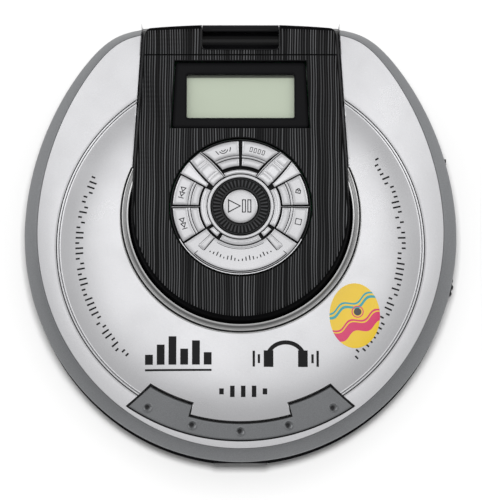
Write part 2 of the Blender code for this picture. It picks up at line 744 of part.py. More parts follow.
def make_chassis():
    """Mechanism plate on rubber mounts, with brackets for the two guide rods."""
    bottom = CHASSIS_TOP - CHASSIS_THICKNESS
    outline = rectangle((CHASSIS_LEFT, CHASSIS_FRONT), (CHASSIS_RIGHT, CHASSIS_REAR))
    chassis = plate("mechanism_chassis", [outline], bottom, CHASSIS_TOP, STEEL)
    brackets = []
    bores = []
    for side in (-1.0, 1.0):
        for y in rod_ends():
            low = (side * ROD_X - ROD_BRACKET, y - ROD_BRACKET / 2, ROD_Z - ROD_BRACKET)
            high = (side * ROD_X + ROD_BRACKET, y + ROD_BRACKET / 2, bottom + GAP)
            brackets.append(box("rod_bracket", low, high))
        centre = (side * ROD_X, 0.0, ROD_Z)
        bores.append(cylinder("rod_bore", centre, ROD_RADIUS + GAP, 2 * HALF_WIDTH, "y"))
    pin = upright("gear_pin", gear_spot(), SHAFT_RADIUS, gear_bottom() - GAP, bottom + GAP)
    window_front = SLED_Y - SLED_HALF_Y - SLED_TRAVEL - 2 * GAP
    window_rear = SLED_Y + SLED_HALF_Y + 2 * GAP
    across = SLED_HALF_X + 2 * GAP
    low = (-across, window_front, bottom - OVERRUN)
    window = box("sled_opening", low, (across, window_rear, CHASSIS_TOP + OVERRUN))
    high = CHASSIS_TOP + OVERRUN
    shaft = upright("shaft_hole", (0.0, DISC_Y), 2 * SHAFT_RADIUS, bottom - OVERRUN, high)
    inside = body_outline(belly_inset(bottom) + 2 * GAP)
    limit = plate("chassis_limit", [inside], FOOT_HEIGHT, CASE_TOP)
    join(chassis, pin)
    common(chassis, limit)
    join(chassis, *brackets)
    return cut(chassis, window, shaft, *bores)


def rod_ends():
    """Y of the brackets that hold the guide rods."""
    front = SLED_Y - SLED_HALF_Y - SLED_TRAVEL - ROD_BRACKET
    rear = SLED_Y + SLED_HALF_Y + ROD_BRACKET
    return (front, rear)


def make_dampers():
    """Four rubber mounts between the case's posts and the chassis."""
    low = damper_bottom()
    for number, spot in enumerate(damper_spots(), 1):
        upright(f"rubber_damper_{number}", spot, DAMPER_RADIUS, low, low + DAMPER_HEIGHT, RUBBER)


def make_spindle():
    """Disc motor, its shaft and the turntable with its centring hub."""
    spot = (0.0, DISC_Y)
    motor_top = CHASSIS_TOP - CHASSIS_THICKNESS - GAP
    upright("spindle_motor", spot, MOTOR_RADIUS, MOTOR_BOTTOM, motor_top, STEEL, ROUND_STEPS)
    shaft_top = DISC_HEIGHT - TABLE_THICKNESS
    shaft = upright("spindle_shaft", spot, SHAFT_RADIUS, motor_top + GAP, shaft_top, STEEL)
    seat = CHASSIS_TOP + TABLE_THICKNESS
    collar = SHAFT_RADIUS + CASE_WALL
    lead = (HUB_TOP - DISC_HEIGHT) / 3
    profile = (
        (0.0, HUB_TOP),
        (HUB_RADIUS - lead, HUB_TOP),
        (HUB_RADIUS, HUB_TOP - lead),
        (HUB_RADIUS, DISC_HEIGHT),
        (TABLE_RADIUS, DISC_HEIGHT),
        (TABLE_RADIUS, DISC_HEIGHT - TABLE_THICKNESS),
        (collar, DISC_HEIGHT - TABLE_THICKNESS),
        (collar, seat),
        (SHAFT_RADIUS + GAP, seat),
        (SHAFT_RADIUS + GAP, shaft_top + GAP),
        (0.0, shaft_top + GAP),
    )
    table = turned("turntable", profile, spot, BLACK)
    balls = []
    for turn in np.radians((90.0, 210.0, 330.0)):
        away = HUB_RADIUS + GAP / 2
        spot_z = HUB_TOP - 2 * lead
        centre = (away * math.cos(turn), DISC_Y + away * math.sin(turn), spot_z)
        work = bmesh.new()
        bmesh.ops.create_uvsphere(work, u_segments=8, v_segments=5, radius=lead)
        ball = from_bmesh("hub_ball", work)
        ball.location = centre
        balls.append(ball)
    join(table, *balls)
    hang_on("spindle_axis", (0.0, DISC_Y, DISC_HEIGHT), (table, shaft))


def make_sled():
    """Laser sled on its rods, with its rack, lens and the gears that drive it."""
    low = (-SLED_HALF_X, SLED_Y - SLED_HALF_Y, SLED_BOTTOM)
    high = (SLED_HALF_X, SLED_Y + SLED_HALF_Y, SLED_TOP)
    sled = box("pickup_sled", low, high, BLACK)
    ear_top = CHASSIS_TOP - CHASSIS_THICKNESS - GAP
    ear_low = ear_top - SLED_EAR_HEIGHT
    reach = rack_face() - GAP
    ears = []
    for side in (-1.0, 1.0):
        outer = reach if side < 0.0 else ROD_X + SLED_EAR / 2
        xs = sorted((side * (SLED_HALF_X - GAP), side * outer))
        low = (xs[0], SLED_Y - SLED_EAR_HALF_Y, ear_low)
        high = (xs[1], SLED_Y + SLED_EAR_HALF_Y, ear_top)
        ears.append(box("sled_ear", low, high))
    rack_top = gear_bottom() + GEAR_THICKNESS
    rack = rack_outline()
    ears.append(plate("sled_rack", [rack], gear_bottom(), rack_top))
    bores = []
    for side in (-1.0, 1.0):
        centre = (side * ROD_X, 0.0, ROD_Z)
        bores.append(cylinder("sled_bore", centre, ROD_RADIUS + GAP, 2 * HALF_WIDTH, "y"))
    lens_spot = (0.0, SLED_Y + LENS_OFFSET)
    well = 2 * LENS_RADIUS
    low = SLED_TOP - LENS_RADIUS / 2
    recess = upright("lens_well", lens_spot, well, low, SLED_TOP + OVERRUN)
    cut(join(sled, *ears), recess, *bores)
    lens_low = low + GAP
    mid = LENS_TOP - LENS_RADIUS / 2
    profile = (
        (0.0, LENS_TOP),
        (LENS_RADIUS / 2, LENS_TOP - GAP / 2),
        (LENS_RADIUS, mid + GAP),
        (well - GAP, mid),
        (well - GAP, lens_low),
        (0.0, lens_low),
    )
    lens = turned("pickup_lens", profile, lens_spot, GLASS, steps=SMALL_STEPS)
    hang_on("sled_axis", (0.0, SLED_Y, ROD_Z), (sled, lens))

    length = rod_ends()[1] - rod_ends()[0] + ROD_BRACKET
    middle = sum(rod_ends()) / 2
    for name, side in (("left", -1.0), ("right", 1.0)):
        centre = (side * ROD_X, middle, ROD_Z)
        cylinder("guide_rod_" + name, centre, ROD_RADIUS, length, "y", STEEL)

    low = gear_bottom()
    high = low + GEAR_THICKNESS
    hole = arc(gear_spot(), SHAFT_RADIUS + GAP, 0.0, 330.0, 12)
    teeth = toothed(gear_spot(), GEAR_RADIUS, GEAR_TEETH)
    gear = plate("sled_gear", [teeth, hole], low, high, WHITE)
    hang_on("gear_axis", (*gear_spot(), low), (gear,))
    pinion = plate("sled_pinion", [toothed(pinion_spot(), PINION_RADIUS, PINION_TEETH)], low, high, WHITE)
    hang_on("pinion_axis", (*pinion_spot(), low), (pinion,))
    top = low - GAP
    upright("sled_motor", pinion_spot(), SLED_MOTOR_RADIUS, FOOT_HEIGHT + CASE_WALL + GAP, top, STEEL)


def rack_face():
    """X distance of the rack's tooth tips from the middle."""
    return ROD_X + ROD_BRACKET + GAP + RACK_WIDTH + TOOTH_DEPTH


def gear_spot():
    return (-(rack_face() + GAP + GEAR_RADIUS + TOOTH_DEPTH), GEAR_Y)


def pinion_spot():
    away = GEAR_RADIUS + PINION_RADIUS + 2 * TOOTH_DEPTH + GAP
    return (gear_spot()[0], GEAR_Y - away)


def gear_bottom():
    return CHASSIS_TOP - CHASSIS_THICKNESS - 2 * GAP - GEAR_THICKNESS


def toothed(centre, radius, teeth):
    """A gear's outline: each tooth has four points."""
    turn = np.arange(4 * teeth) * 2.0 * np.pi / (4 * teeth)
    reach = radius + TOOTH_DEPTH * np.tile((0.0, 0.0, 1.0, 1.0), teeth)
    return np.stack((centre[0] + reach * np.cos(turn), centre[1] + reach * np.sin(turn)), axis=1)


def rack_outline():
    """The rack: a straight back at the rods' side and teeth towards the gear."""
    pitch = 2.0 * math.pi * (GEAR_RADIUS + TOOTH_DEPTH / 2) / GEAR_TEETH
    count = int(RACK_LENGTH / pitch)
    start = GEAR_Y - pitch
    tips = -rack_face()
    roots = tips + TOOTH_DEPTH
    points = []
    for tooth in range(count):
        y = start + tooth * pitch
        quarter = pitch / 4
        points += [(roots, y), (roots, y + quarter), (tips, y + 2 * quarter), (tips, y + 3 * quarter)]
    back = roots + RACK_WIDTH
    return points + [(roots, start + count * pitch), (back, start + count * pitch), (back, start)]


def make_power():
    """Battery door, two cells, their plates and springs."""
    low = (-BAY_HALF_X + GAP, BAY_Y - BAY_HALF_Y + GAP, FOOT_HEIGHT)
    high = (BAY_HALF_X - GAP, BAY_Y + BAY_HALF_Y - GAP, FOOT_HEIGHT + DOOR_THICKNESS)
    door = box("battery_door", low, high, BLACK)
    ridges = []
    pitch = 2 * DOOR_THICKNESS
    for step in range(5):
        y = BAY_Y + BAY_HALF_Y - CELL_TIP_RADIUS - step * pitch
        ridge_low = (-CELL_RADIUS, y - DOOR_THICKNESS / 2, FOOT_HEIGHT - OVERRUN)
        ridge_high = (CELL_RADIUS, y, FOOT_HEIGHT + DOOR_THICKNESS / 3)
        ridges.append(box("door_grip", ridge_low, ridge_high))
    cut(door, *ridges)
    hang_on("door_axis", (0.0, low[1], FOOT_HEIGHT), (door,))

    z = FOOT_HEIGHT + DOOR_THICKNESS + GAP + CELL_RADIUS
    half = (CELL_HALF_PITCH + CELL_RADIUS - GAP, CELL_RADIUS - GAP)
    for name, side in (("left", -1.0), ("right", 1.0)):
        y = BAY_Y + side * CELL_HALF_PITCH
        inner = BAY_HALF_X - GAP - CONTACT_THICKNESS
        shoulder = side * (inner - GAP - CELL_TIP)
        middle = shoulder - side * CELL_LENGTH / 2
        centre = (middle, y, z)
        cell = cylinder("battery_cell_" + name, centre, CELL_RADIUS, CELL_LENGTH, "x", CELL)
        nose_spot = (shoulder + side * (CELL_TIP - GAP) / 2, y, z)
        join(cell, cylinder("cell_nose", nose_spot, CELL_TIP_RADIUS, CELL_TIP + GAP, "x"))

        xs = sorted((side * inner, side * (inner + CONTACT_THICKNESS)))
        low = (xs[0], BAY_Y - half[0], z - half[1])
        contact = box("battery_contact_" + name, low, (xs[1], BAY_Y + half[0], z + half[1]), STEEL)
        cell_end = side * (inner - GAP - CELL_TIP - CELL_LENGTH) * -1.0
        spot = (BAY_Y - side * CELL_HALF_PITCH, z)
        join(contact, battery_spring(spot, side * inner, cell_end + side * GAP))


def battery_spring(spot, start, end):
    """One helix of wire that narrows from its plate to the cell."""
    count = 10 * SPRING_TURNS
    share = np.linspace(0.0, 1.0, count + 1)
    turn = 2.0 * np.pi * SPRING_TURNS * share
    away = SPRING_RADIUS * (1.0 - share / 3)
    side = math.copysign(SPRING_WIRE, end - start)
    x = start + (end - start - side) * share
    route = np.stack((x, spot[0] + away * np.cos(turn), spot[1] + away * np.sin(turn)), axis=1)
    return tube("battery_spring", route, SPRING_WIRE)


def make_board():
    """Main board with two chips, and the three sockets in the right side."""
    low = (BOARD_X[0], BOARD_Y[0])
    high = (BOARD_X[1], BOARD_Y[1])
    top = BOARD_BOTTOM + BOARD_THICKNESS
    board = plate("main_board", [rectangle(low, high)], BOARD_BOTTOM, top, BOARD)
    side = (BOARD_X[1] - BOARD_X[0]) / 4
    chips = []
    legs = []
    for index, y in enumerate((BOARD_Y[0] / 2, BOARD_Y[1] / 2)):
        chip_low = (BOARD_X[0] + side / 2, y - side / 2, top - GAP)
        chip_high = (BOARD_X[0] + side * (3 + index) / 2, y + side / 2, top + BOARD_THICKNESS)
        chips.append(box("chip", chip_low, chip_high))
    floor = FOOT_HEIGHT + CASE_WALL + GAP
    for x in (low[0] + 2 * POST_RADIUS, high[0] - JACK_BODY):
        legs.append(upright("board_leg", (x, 0.0), POST_RADIUS, floor, BOARD_BOTTOM + GAP))
    inside = body_outline(belly_inset(BOARD_BOTTOM) + 2 * GAP)
    join(board, *chips, *legs)
    common(board, plate("board_limit", [inside], FOOT_HEIGHT, CASE_TOP))
    names = (("headphone_jack", PHONE_Y), ("line_jack", LINE_Y), ("power_jack", POWER_Y))
    for name, y in names:
        end = SIDE_FACE_X - JACK_NOSE + GAP
        low = (end - JACK_BODY, y - JACK_HALF, JACK_Z - JACK_HALF)
        body = box(name, low, (end, y + JACK_HALF, JACK_Z + JACK_HALF), BLACK)
        nose_x = SIDE_FACE_X - JACK_NOSE / 2
        nose = cylinder("nose", (nose_x, y, JACK_Z), JACK_RADIUS, JACK_NOSE, "x")
        radius = POWER_BORE if name == "power_jack" else JACK_BORE
        bore = cylinder("jack_bore", (SIDE_FACE_X, y, JACK_Z), radius, 2 * JACK_BODY, "x")
        cut(join(body, nose), bore)
        if name == "power_jack":
            pin_x = SIDE_FACE_X - JACK_BODY / 2 - GAP
            pin_spot = (pin_x, y, JACK_Z)
            join(body, cylinder("power_pin", pin_spot, POWER_BORE / 4, JACK_BODY - GAP, "x"))


def make_side_controls():
    """Volume wheel and hold switch in the right side."""
    spot = (SIDE_FACE_X + VOLUME_PROUD - VOLUME_RADIUS, VOLUME_Y)
    low = VOLUME_Z - VOLUME_THICKNESS / 2
    high = VOLUME_Z + VOLUME_THICKNESS / 2
    rim = toothed(spot, VOLUME_RADIUS - TOOTH_DEPTH, VOLUME_TEETH)
    wheel = plate("volume_wheel", [rim], low, high, BLACK)
    foot = BOARD_BOTTOM + BOARD_THICKNESS + GAP
    join(wheel, upright("volume_axle", spot, POST_RADIUS, foot, low + GAP))
    hang_on("volume_axis", (*spot, VOLUME_Z), (wheel,))

    half = HOLD_HEIGHT / 2
    low = (HOLD_X[0], HOLD_Y - HOLD_HALF, HOLD_Z - half)
    knob = box("hold_switch", low, (HOLD_X[1], HOLD_Y + HOLD_HALF, HOLD_Z + half), BLACK)
    grooves = []
    for place in (-1.0, 0.0, 1.0):
        y = HOLD_Y + place * HOLD_HALF / 2
        groove_low = (HOLD_X[1] - GAP, y - GAP, HOLD_Z - HOLD_HEIGHT)
        groove_high = (HOLD_X[1] + OVERRUN, y + GAP, HOLD_Z + HOLD_HEIGHT)
        grooves.append(box("hold_groove", groove_low, groove_high))
    cut(knob, *grooves)
    hang_on("hold_axis", (HOLD_X[1], HOLD_Y, HOLD_Z), (knob,))


def make_opener():
    """Open slider in the front lip: a pad with a window for the lid's hook."""
    front = front_edge() - OPENER_PROUD
    rear = front_edge() + OPENER_REACH
    top = OPENER_SILL + OPENER_HEIGHT
    low = (-OPENER_HALF, front, OPENER_SILL)
    opener = box("open_slider", low, (OPENER_HALF, rear, top), BLACK)
    side = HOOK_WIDTH / 2 + 2 * GAP
    window_rear = hook_y() + HOOK_THICKNESS + HOOK_TOOTH + GAP
    window_front = hook_y() - GAP - OPENER_TRAVEL - GAP
    window_low = (-side, window_front, OPENER_SILL - OVERRUN)
    cut(opener, box("hook_window", window_low, (side, window_rear, top + OVERRUN)))
    hang_on("opener_axis", (0.0, front, OPENER_SILL), (opener,))


def make_feet_and_screws():
    """Rubber feet and the four screws that hold the two case halves."""
    top = FOOT_HEIGHT + FOOT_RECESS - GAP
    edge = FOOT_RADIUS - FOOT_HEIGHT / 2
    for number, spot in enumerate(four_spots(FOOT_SPREAD), 1):
        upright(f"rubber_foot_{number}", spot, edge, 0.0, top, RUBBER, top=FOOT_RADIUS)
    seat = screw_seat() - 2 * GAP
    slot_top = seat - SCREW_RADIUS / 2
    for number, (x, y) in enumerate(four_spots(SCREW_SPREAD), 1):
        name = f"case_screw_{number}"
        head = upright(name, (x, y), SCREW_HEAD, seat - SCREW_RADIUS, seat, STEEL)
        stem = upright("stem", (x, y), SCREW_RADIUS, seat - GAP, seat + SCREW_LENGTH)
        slots = []
        for along in ((SCREW_RADIUS, GAP), (GAP, SCREW_RADIUS)):
            slot_low = (x - along[0], y - along[1], FOOT_HEIGHT)
            slots.append(box("slot", slot_low, (x + along[0], y + along[1], slot_top)))
        cut(join(head, stem), *slots)


def four_spots(spread):
    """The four plan places at plus and minus a spread."""
    return [(x, y) for x in (-spread[0], spread[0]) for y in (-spread[1], spread[1])]


def panel_cutter(name, clear, low, high):
    """A prism round the black panel, run out past the rear of the lid."""
    prism = plate(name, [panel_outline(-clear)], low, high)
    half = PANEL_REAR_HALF + clear
    rear_low = (-half, PANEL_GROOVE_Y, low)
    return join(prism, box(name + "_rear", rear_low, (half, PANEL_REAR + RIM_TOP, high)))


def make_rim():
    """Grey sloping rim of the lid."""
    run = (RIM_SIDE, RIM_FRONT, RIM_REAR)
    knee = RIM_WALL + GAP
    rings = (
        at_height(body_outline(), RIM_BOTTOM),
        at_height(body_outline(), RIM_BOTTOM + RIM_EDGE_HEIGHT),
        at_height(body_outline(*run), RIM_TOP),
        at_height(body_outline(*run), RIM_TOP - LID_WALL),
        at_height(body_outline(knee), RIM_BOTTOM + RIM_EDGE_HEIGHT / 2),
        at_height(body_outline(knee), RIM_BOTTOM),
    )
    rim = loft("lid_rim", rings, GREY, looped=True)
    return cut(rim, panel_cutter("rim_opening", GAP, FOOT_HEIGHT, PANEL_TOP))


def make_shell():
    """Silver skin of the lid: an outer zone, the round seam and the dome."""
    run = (RIM_SIDE + GAP, RIM_FRONT + GAP, RIM_REAR + GAP)
    edge = body_outline(*run)
    bottom = SEAM_HEIGHT - SEAM_DEPTH
    lip = SEAM_RADIUS + SEAM_HALF
    inside = SEAM_RADIUS - SEAM_HALF
    ring_shares = (0.8, 0.55)
    top = [at_height(edge, RIM_TOP), at_height(on_seam(edge, lip), SEAM_HEIGHT)]
    top.append(at_height(on_seam(edge, SEAM_RADIUS), bottom))
    top.append(at_height(on_seam(edge, inside), SEAM_HEIGHT + GAP / 3))
    under = [at_height(edge, RIM_TOP - LID_WALL)]
    under.append(at_height(on_seam(edge, lip), bottom - LID_WALL + GAP))
    under.append(at_height(on_seam(edge, inside), bottom - LID_WALL + GAP))
    for share in ring_shares:
        radius = share * SEAM_RADIUS
        top.append(at_height(on_seam(edge, radius), dome_height(radius)))
        under.append(at_height(on_seam(edge, radius), dome_height(radius) - LID_WALL))
    shell = loft("lid_shell", under[::-1] + top, SILVER)
    opening = panel_cutter("shell_opening", GAP, FOOT_HEIGHT, PANEL_TOP + OVERRUN)
    outside = PANEL_RADIUS + GAP + COLLAR_WIDTH + GAP
    low = FOOT_HEIGHT
    high = PANEL_TOP + OVERRUN
    ring = upright("collar_opening", (0.0, PANEL_Y), outside, low, high, steps=2 * ROUND_STEPS)
    pocket_low = TRIM_TOP - TRIM_THICKNESS - GAP
    pocket = plate("trim_pocket", [trim_outline(GAP)], pocket_low, PANEL_TOP)
    return cut(shell, opening, ring, pocket)


def trim_outline(clear=0.0):
    """The front plate: a ring segment whose middle is narrower than its two ends."""
    centre = (0.0, DISC_Y)
    outer = TRIM_OUTER + clear
    middle = TRIM_INNER - clear
    shoulder = TRIM_SHOULDER - clear
    spread = math.degrees(clear / outer)
    down = -90.0
    outer_angle = TRIM_HALF_ANGLE + spread
    end_angle = TRIM_SHOULDER_ANGLE + spread
    step = TRIM_STEP_ANGLE - spread
    pieces = (
        arc(centre, outer, down - outer_angle, down + outer_angle, 25),
        arc(centre, shoulder, down + end_angle, down + step, 7),
        arc(centre, middle, down + step, down - step, 11),
        arc(centre, shoulder, down - step, down - end_angle, 7),
    )
    return np.concatenate(pieces)


def make_trim():
    """Grey front plate with five dimples."""
    low = TRIM_TOP - TRIM_THICKNESS
    trim = plate("front_plate", [trim_outline()], low, TRIM_TOP, GREY)
    dimples = []
    for turn in np.radians(DIMPLE_ANGLES):
        spot = (DIMPLE_RING * math.sin(turn), DISC_Y - DIMPLE_RING * math.cos(turn))
        bottom = TRIM_TOP - DIMPLE_DEPTH
        top = TRIM_TOP + DIMPLE_DEPTH
        dimples.append(upright("dimple", spot, 0.0, bottom, top, steps=12, top=2 * DIMPLE_RADIUS))
    return cut(trim, *dimples)


def make_collar():
    """Bright ring round the black panel."""
    inner = PANEL_RADIUS + GAP
    outer = inner + COLLAR_WIDTH
    low = LINER_BOTTOM + LINER_THICKNESS + GAP
    shoulder = dome_height(inner)
    top = shoulder + COLLAR_RISE
    profile = (
        (inner, top - COLLAR_RISE / 4),
        (inner + COLLAR_WIDTH / 4, top),
        (outer - COLLAR_WIDTH / 2, top - COLLAR_RISE / 5),
        (outer - COLLAR_WIDTH / 6, shoulder + COLLAR_RISE / 3),
        (outer, shoulder),
        (outer, low),
        (inner, low),
    )
    collar = turned("collar_ring", profile, (0.0, PANEL_Y), CHROME, steps=2 * ROUND_STEPS)
    return cut(collar, panel_cutter("collar_opening", GAP, FOOT_HEIGHT, PANEL_TOP + OVERRUN))


def make_liner():
    """Inner cover of the lid, with posts for the board and the latch hook."""
    low = LINER_BOTTOM
    high = low + LINER_THICKNESS
    spot = (0.0, DISC_Y)
    liner = upright("lid_liner", spot, LINER_RADIUS, low, high, BLACK, steps=2 * ROUND_STEPS)
    half = PANEL_REAR_HALF - PANEL_WALL
    tab_low = (-half, HINGE_Y / 2, low)
    tab = box("liner_tab", tab_low, (half, PANEL_GROOVE_Y - GAP, high))
    posts = []
    for x, y in board_posts():
        posts.append(upright("post", (x, y), POST_RADIUS, high - GAP, KEY_BOARD_BOTTOM - GAP))
    side = HOOK_WIDTH / 2
    arm_low = (-side, hook_y(), HOOK_BOTTOM)
    arm = box("hook_arm", arm_low, (side, hook_y() + HOOK_THICKNESS, low))
    tooth_high = HOOK_BOTTOM + HOOK_TOOTH / 2
    tooth_rear = hook_y() + HOOK_THICKNESS + HOOK_TOOTH
    tooth = box("hook_tooth", arm_low, (side, tooth_rear, tooth_high))
    bridge_low = (-side, hook_y(), low - LINER_THICKNESS)
    bridge_high = (side, DISC_Y - LINER_RADIUS + HOOK_WIDTH, low + GAP)
    bridge = box("hook_bridge", bridge_low, (side, DISC_Y - LINER_RADIUS, low))
    step = box("hook_step", (-side, DISC_Y - LINER_RADIUS, low - LINER_THICKNESS), bridge_high)
    return join(liner, tab, *posts, step, bridge, arm, tooth)


def board_posts():
    """Plan places of the posts under the lid's board."""
    across = WHEEL_RADIUS + 2 * POST_RADIUS
    return ((-across, PANEL_Y), (across, PANEL_Y), (-across, BEZEL_REAR), (across, BEZEL_REAR))


def bezel_outline(clear=0.0):
    """Plan outline of the display's surround, a little wider in front."""
    front = BEZEL_FRONT - clear
    rear = BEZEL_REAR + clear
    wide = BEZEL_FRONT_HALF + clear
    narrow = BEZEL_REAR_HALF + clear
    return ((-wide, front), (wide, front), (narrow, rear), (-narrow, rear))


def make_panel():
    """Black control panel: a hollow cap that ends in a solid hinge block behind."""
    bottom = LINER_BOTTOM + LINER_THICKNESS + GAP
    shoulder = PANEL_TOP - PANEL_EDGE
    roof = PANEL_TOP - PANEL_WALL
    edge = PANEL_DRAFT
    inner = PANEL_WALL
    rings = (
        at_height(panel_outline(), bottom),
        at_height(panel_outline(), SEAM_HEIGHT + DOME_RISE / 2),
        at_height(panel_outline(edge * 2 / 3), shoulder),
        at_height(panel_outline(edge), PANEL_TOP - PANEL_EDGE / 3),
        at_height(panel_outline(edge + PANEL_EDGE / 2), PANEL_TOP),
    )
    hollow = (
        at_height(panel_outline(inner), bottom),
        at_height(panel_outline(inner), SEAM_HEIGHT + DOME_RISE / 2),
        at_height(panel_outline(inner + edge), roof),
    )
    panel = loft("control_panel", rings[::-1] + hollow, BLACK)
    high_half = PANEL_REAR_HALF - edge
    rear_low = REAR_EDGE + WIDEST_Y
    rear_high = PANEL_REAR - edge
    front = PANEL_GROOVE_Y
    share = np.linspace(1.0, -1.0, 9)

    def block_ring(half, rear, height):
        bow = np.stack((share * half, rear - PANEL_REAR_BOW * share ** 2), axis=1)
        return at_height(np.concatenate((((-half, front), (half, front)), bow)), height)

    block = loft(
        "hinge_block",
        (
            block_ring(PANEL_REAR_HALF, rear_low, RIM_BOTTOM),
            block_ring(PANEL_REAR_HALF, rear_low, RIM_BOTTOM + RIM_EDGE_HEIGHT),
            block_ring(PANEL_REAR_HALF, PANEL_REAR, SEAM_HEIGHT + DOME_RISE / 2),
            block_ring(high_half, rear_high, roof + GAP),
        ),
    )
    join(panel, block)
    trough = (-RECESS_HALF, RECESS_FRONT, RECESS_LEDGE)
    far = (RECESS_HALF, REAR_EDGE + RIM_TOP, PANEL_TOP + OVERRUN)
    pocket_in = HINGE_PIN_HALF + PANEL_WALL
    pocket_out = high_half - PANEL_WALL
    cuts = [
        cylinder(
            "swing_recess",
            (0.0, HINGE_Y, HINGE_Z),
            SWING_RADIUS,
            2 * RECESS_HALF,
            "x",
            steps=ROUND_STEPS,
        ),
        box("top_recess", trough, far),
        hinge_roll("pin_bore", HINGE_PIN_RADIUS + GAP, HINGE_PIN_HALF + GAP),
        plate("bezel_opening", [bezel_outline(GAP)], roof - OVERRUN, PANEL_TOP + OVERRUN),
    ]
    for side in (-1.0, 1.0):
        xs = sorted((side * pocket_in, side * pocket_out))
        low = (xs[0], front + PANEL_WALL, FOOT_HEIGHT)
        cuts.append(box("block_pocket", low, (xs[1], rear_high - PANEL_WALL, roof - GAP)))
    hole = WHEEL_RADIUS + WHEEL_GROOVE
    spot = (0.0, WHEEL_Y)
    high = PANEL_TOP + OVERRUN
    cuts.append(upright("wheel_opening", spot, hole, roof - OVERRUN, high, steps=2 * ROUND_STEPS))
    groove_half = PANEL_REAR_HALF - PANEL_EDGE
    low = (-groove_half, PANEL_GROOVE_Y - PANEL_GROOVE / 2, PANEL_TOP - PANEL_GROOVE)
    cuts.append(box("panel_groove", low, (groove_half, PANEL_GROOVE_Y + PANEL_GROOVE / 2, high)))
    return cut(panel, *cuts)


def make_display():
    """Glossy surround, glass and the display module under it."""
    top = PANEL_TOP - BEZEL_DEPTH
    low = top - BEZEL_THICKNESS
    glass = rectangle((-GLASS_HALF, GLASS_FRONT), (GLASS_HALF, GLASS_REAR))
    hole_low = (-GLASS_HALF - GAP, GLASS_FRONT - GAP)
    hole = rectangle(hole_low, (GLASS_HALF + GAP, GLASS_REAR + GAP))
    plate("display_bezel", [bezel_outline(), hole], low, top, GLOSS)
    glass_top = top - GAP
    plate("display_window", [glass], glass_top - GLASS_THICKNESS, glass_top, GLASS)
    module_top = min(low, glass_top - GLASS_THICKNESS) - GAP
    side = (GLASS_HALF + PANEL_EDGE, GLASS_REAR + PANEL_EDGE)
    base = KEY_BOARD_BOTTOM + KEY_BOARD_THICKNESS + GAP
    module_low = (-side[0], GLASS_FRONT - PANEL_EDGE, base)
    box("display_module", module_low, (side[0], side[1], module_top), WHITE)


def make_lid_board():
    """Board under the keys, with one switch below each key."""
    low = KEY_BOARD_BOTTOM
    high = low + KEY_BOARD_THICKNESS
    inset = PANEL_WALL + PANEL_DRAFT + GAP
    body = plate("lid_board", [panel_outline(inset)], low, high, BOARD)
    far = (HALF_WIDTH, REAR_EDGE + RIM_TOP, high + OVERRUN)
    rear = box("board_end", (-HALF_WIDTH, PANEL_GROOVE_Y - GAP, low - OVERRUN), far)
    cut(body, rear)
    switches = []
    top = high + KEY_SWITCH_HEIGHT
    for spot in switch_spots():
        switches.append(upright("switch", spot, KEY_SWITCH_RADIUS, high - GAP, top, steps=10))
    join(body, *switches)


def make_lid():
    make_rim()
    make_shell()
    make_trim()
    make_collar()
    make_liner()
    make_panel()
    make_display()
    make_lid_board()
    make_wheel()


KEYS = {
    "upper_left_key": ((91.0, 91.0), (116.0, 125.0)),
    "upper_right_key": ((64.0, 55.0), (89.0, 89.0)),
    "previous_key": ((151.0, 151.0), (179.4, 179.4)),
    "next_key": ((180.6, 180.6), (213.0, 213.0)),
    "lock_key": ((0.6, 0.6), (29.0, 29.0)),
    "stop_key": ((-33.0, -33.0), (-0.6, -0.6)),
    "lower_key": ((-146.0, -146.0), (-34.0, -34.0)),
}


def key_sector(name, clear):
    """Outline of one key of the wheel, grown or shrunk by a clearance."""
    starts, ends = KEYS[name]
    near = BUTTON_INNER - clear
    far = BUTTON_OUTER + clear
    slip = (math.degrees(clear / near), math.degrees(clear / far))
    opened = (starts[0] - slip[0], starts[1] - slip[1])
    closed = (ends[0] + slip[0], ends[1] + slip[1])
    return sector((0.0, WHEEL_Y), near, far, opened, closed)


def switch_spots():
    """A switch under the middle of each key."""
    middle = (BUTTON_INNER + BUTTON_OUTER) / 2
    spots = [(0.0, WHEEL_Y)]
    for starts, ends in KEYS.values():
        turn = math.radians((sum(starts) + sum(ends)) / 4)
        spots.append((middle * math.cos(turn), WHEEL_Y + middle * math.sin(turn)))
    return spots


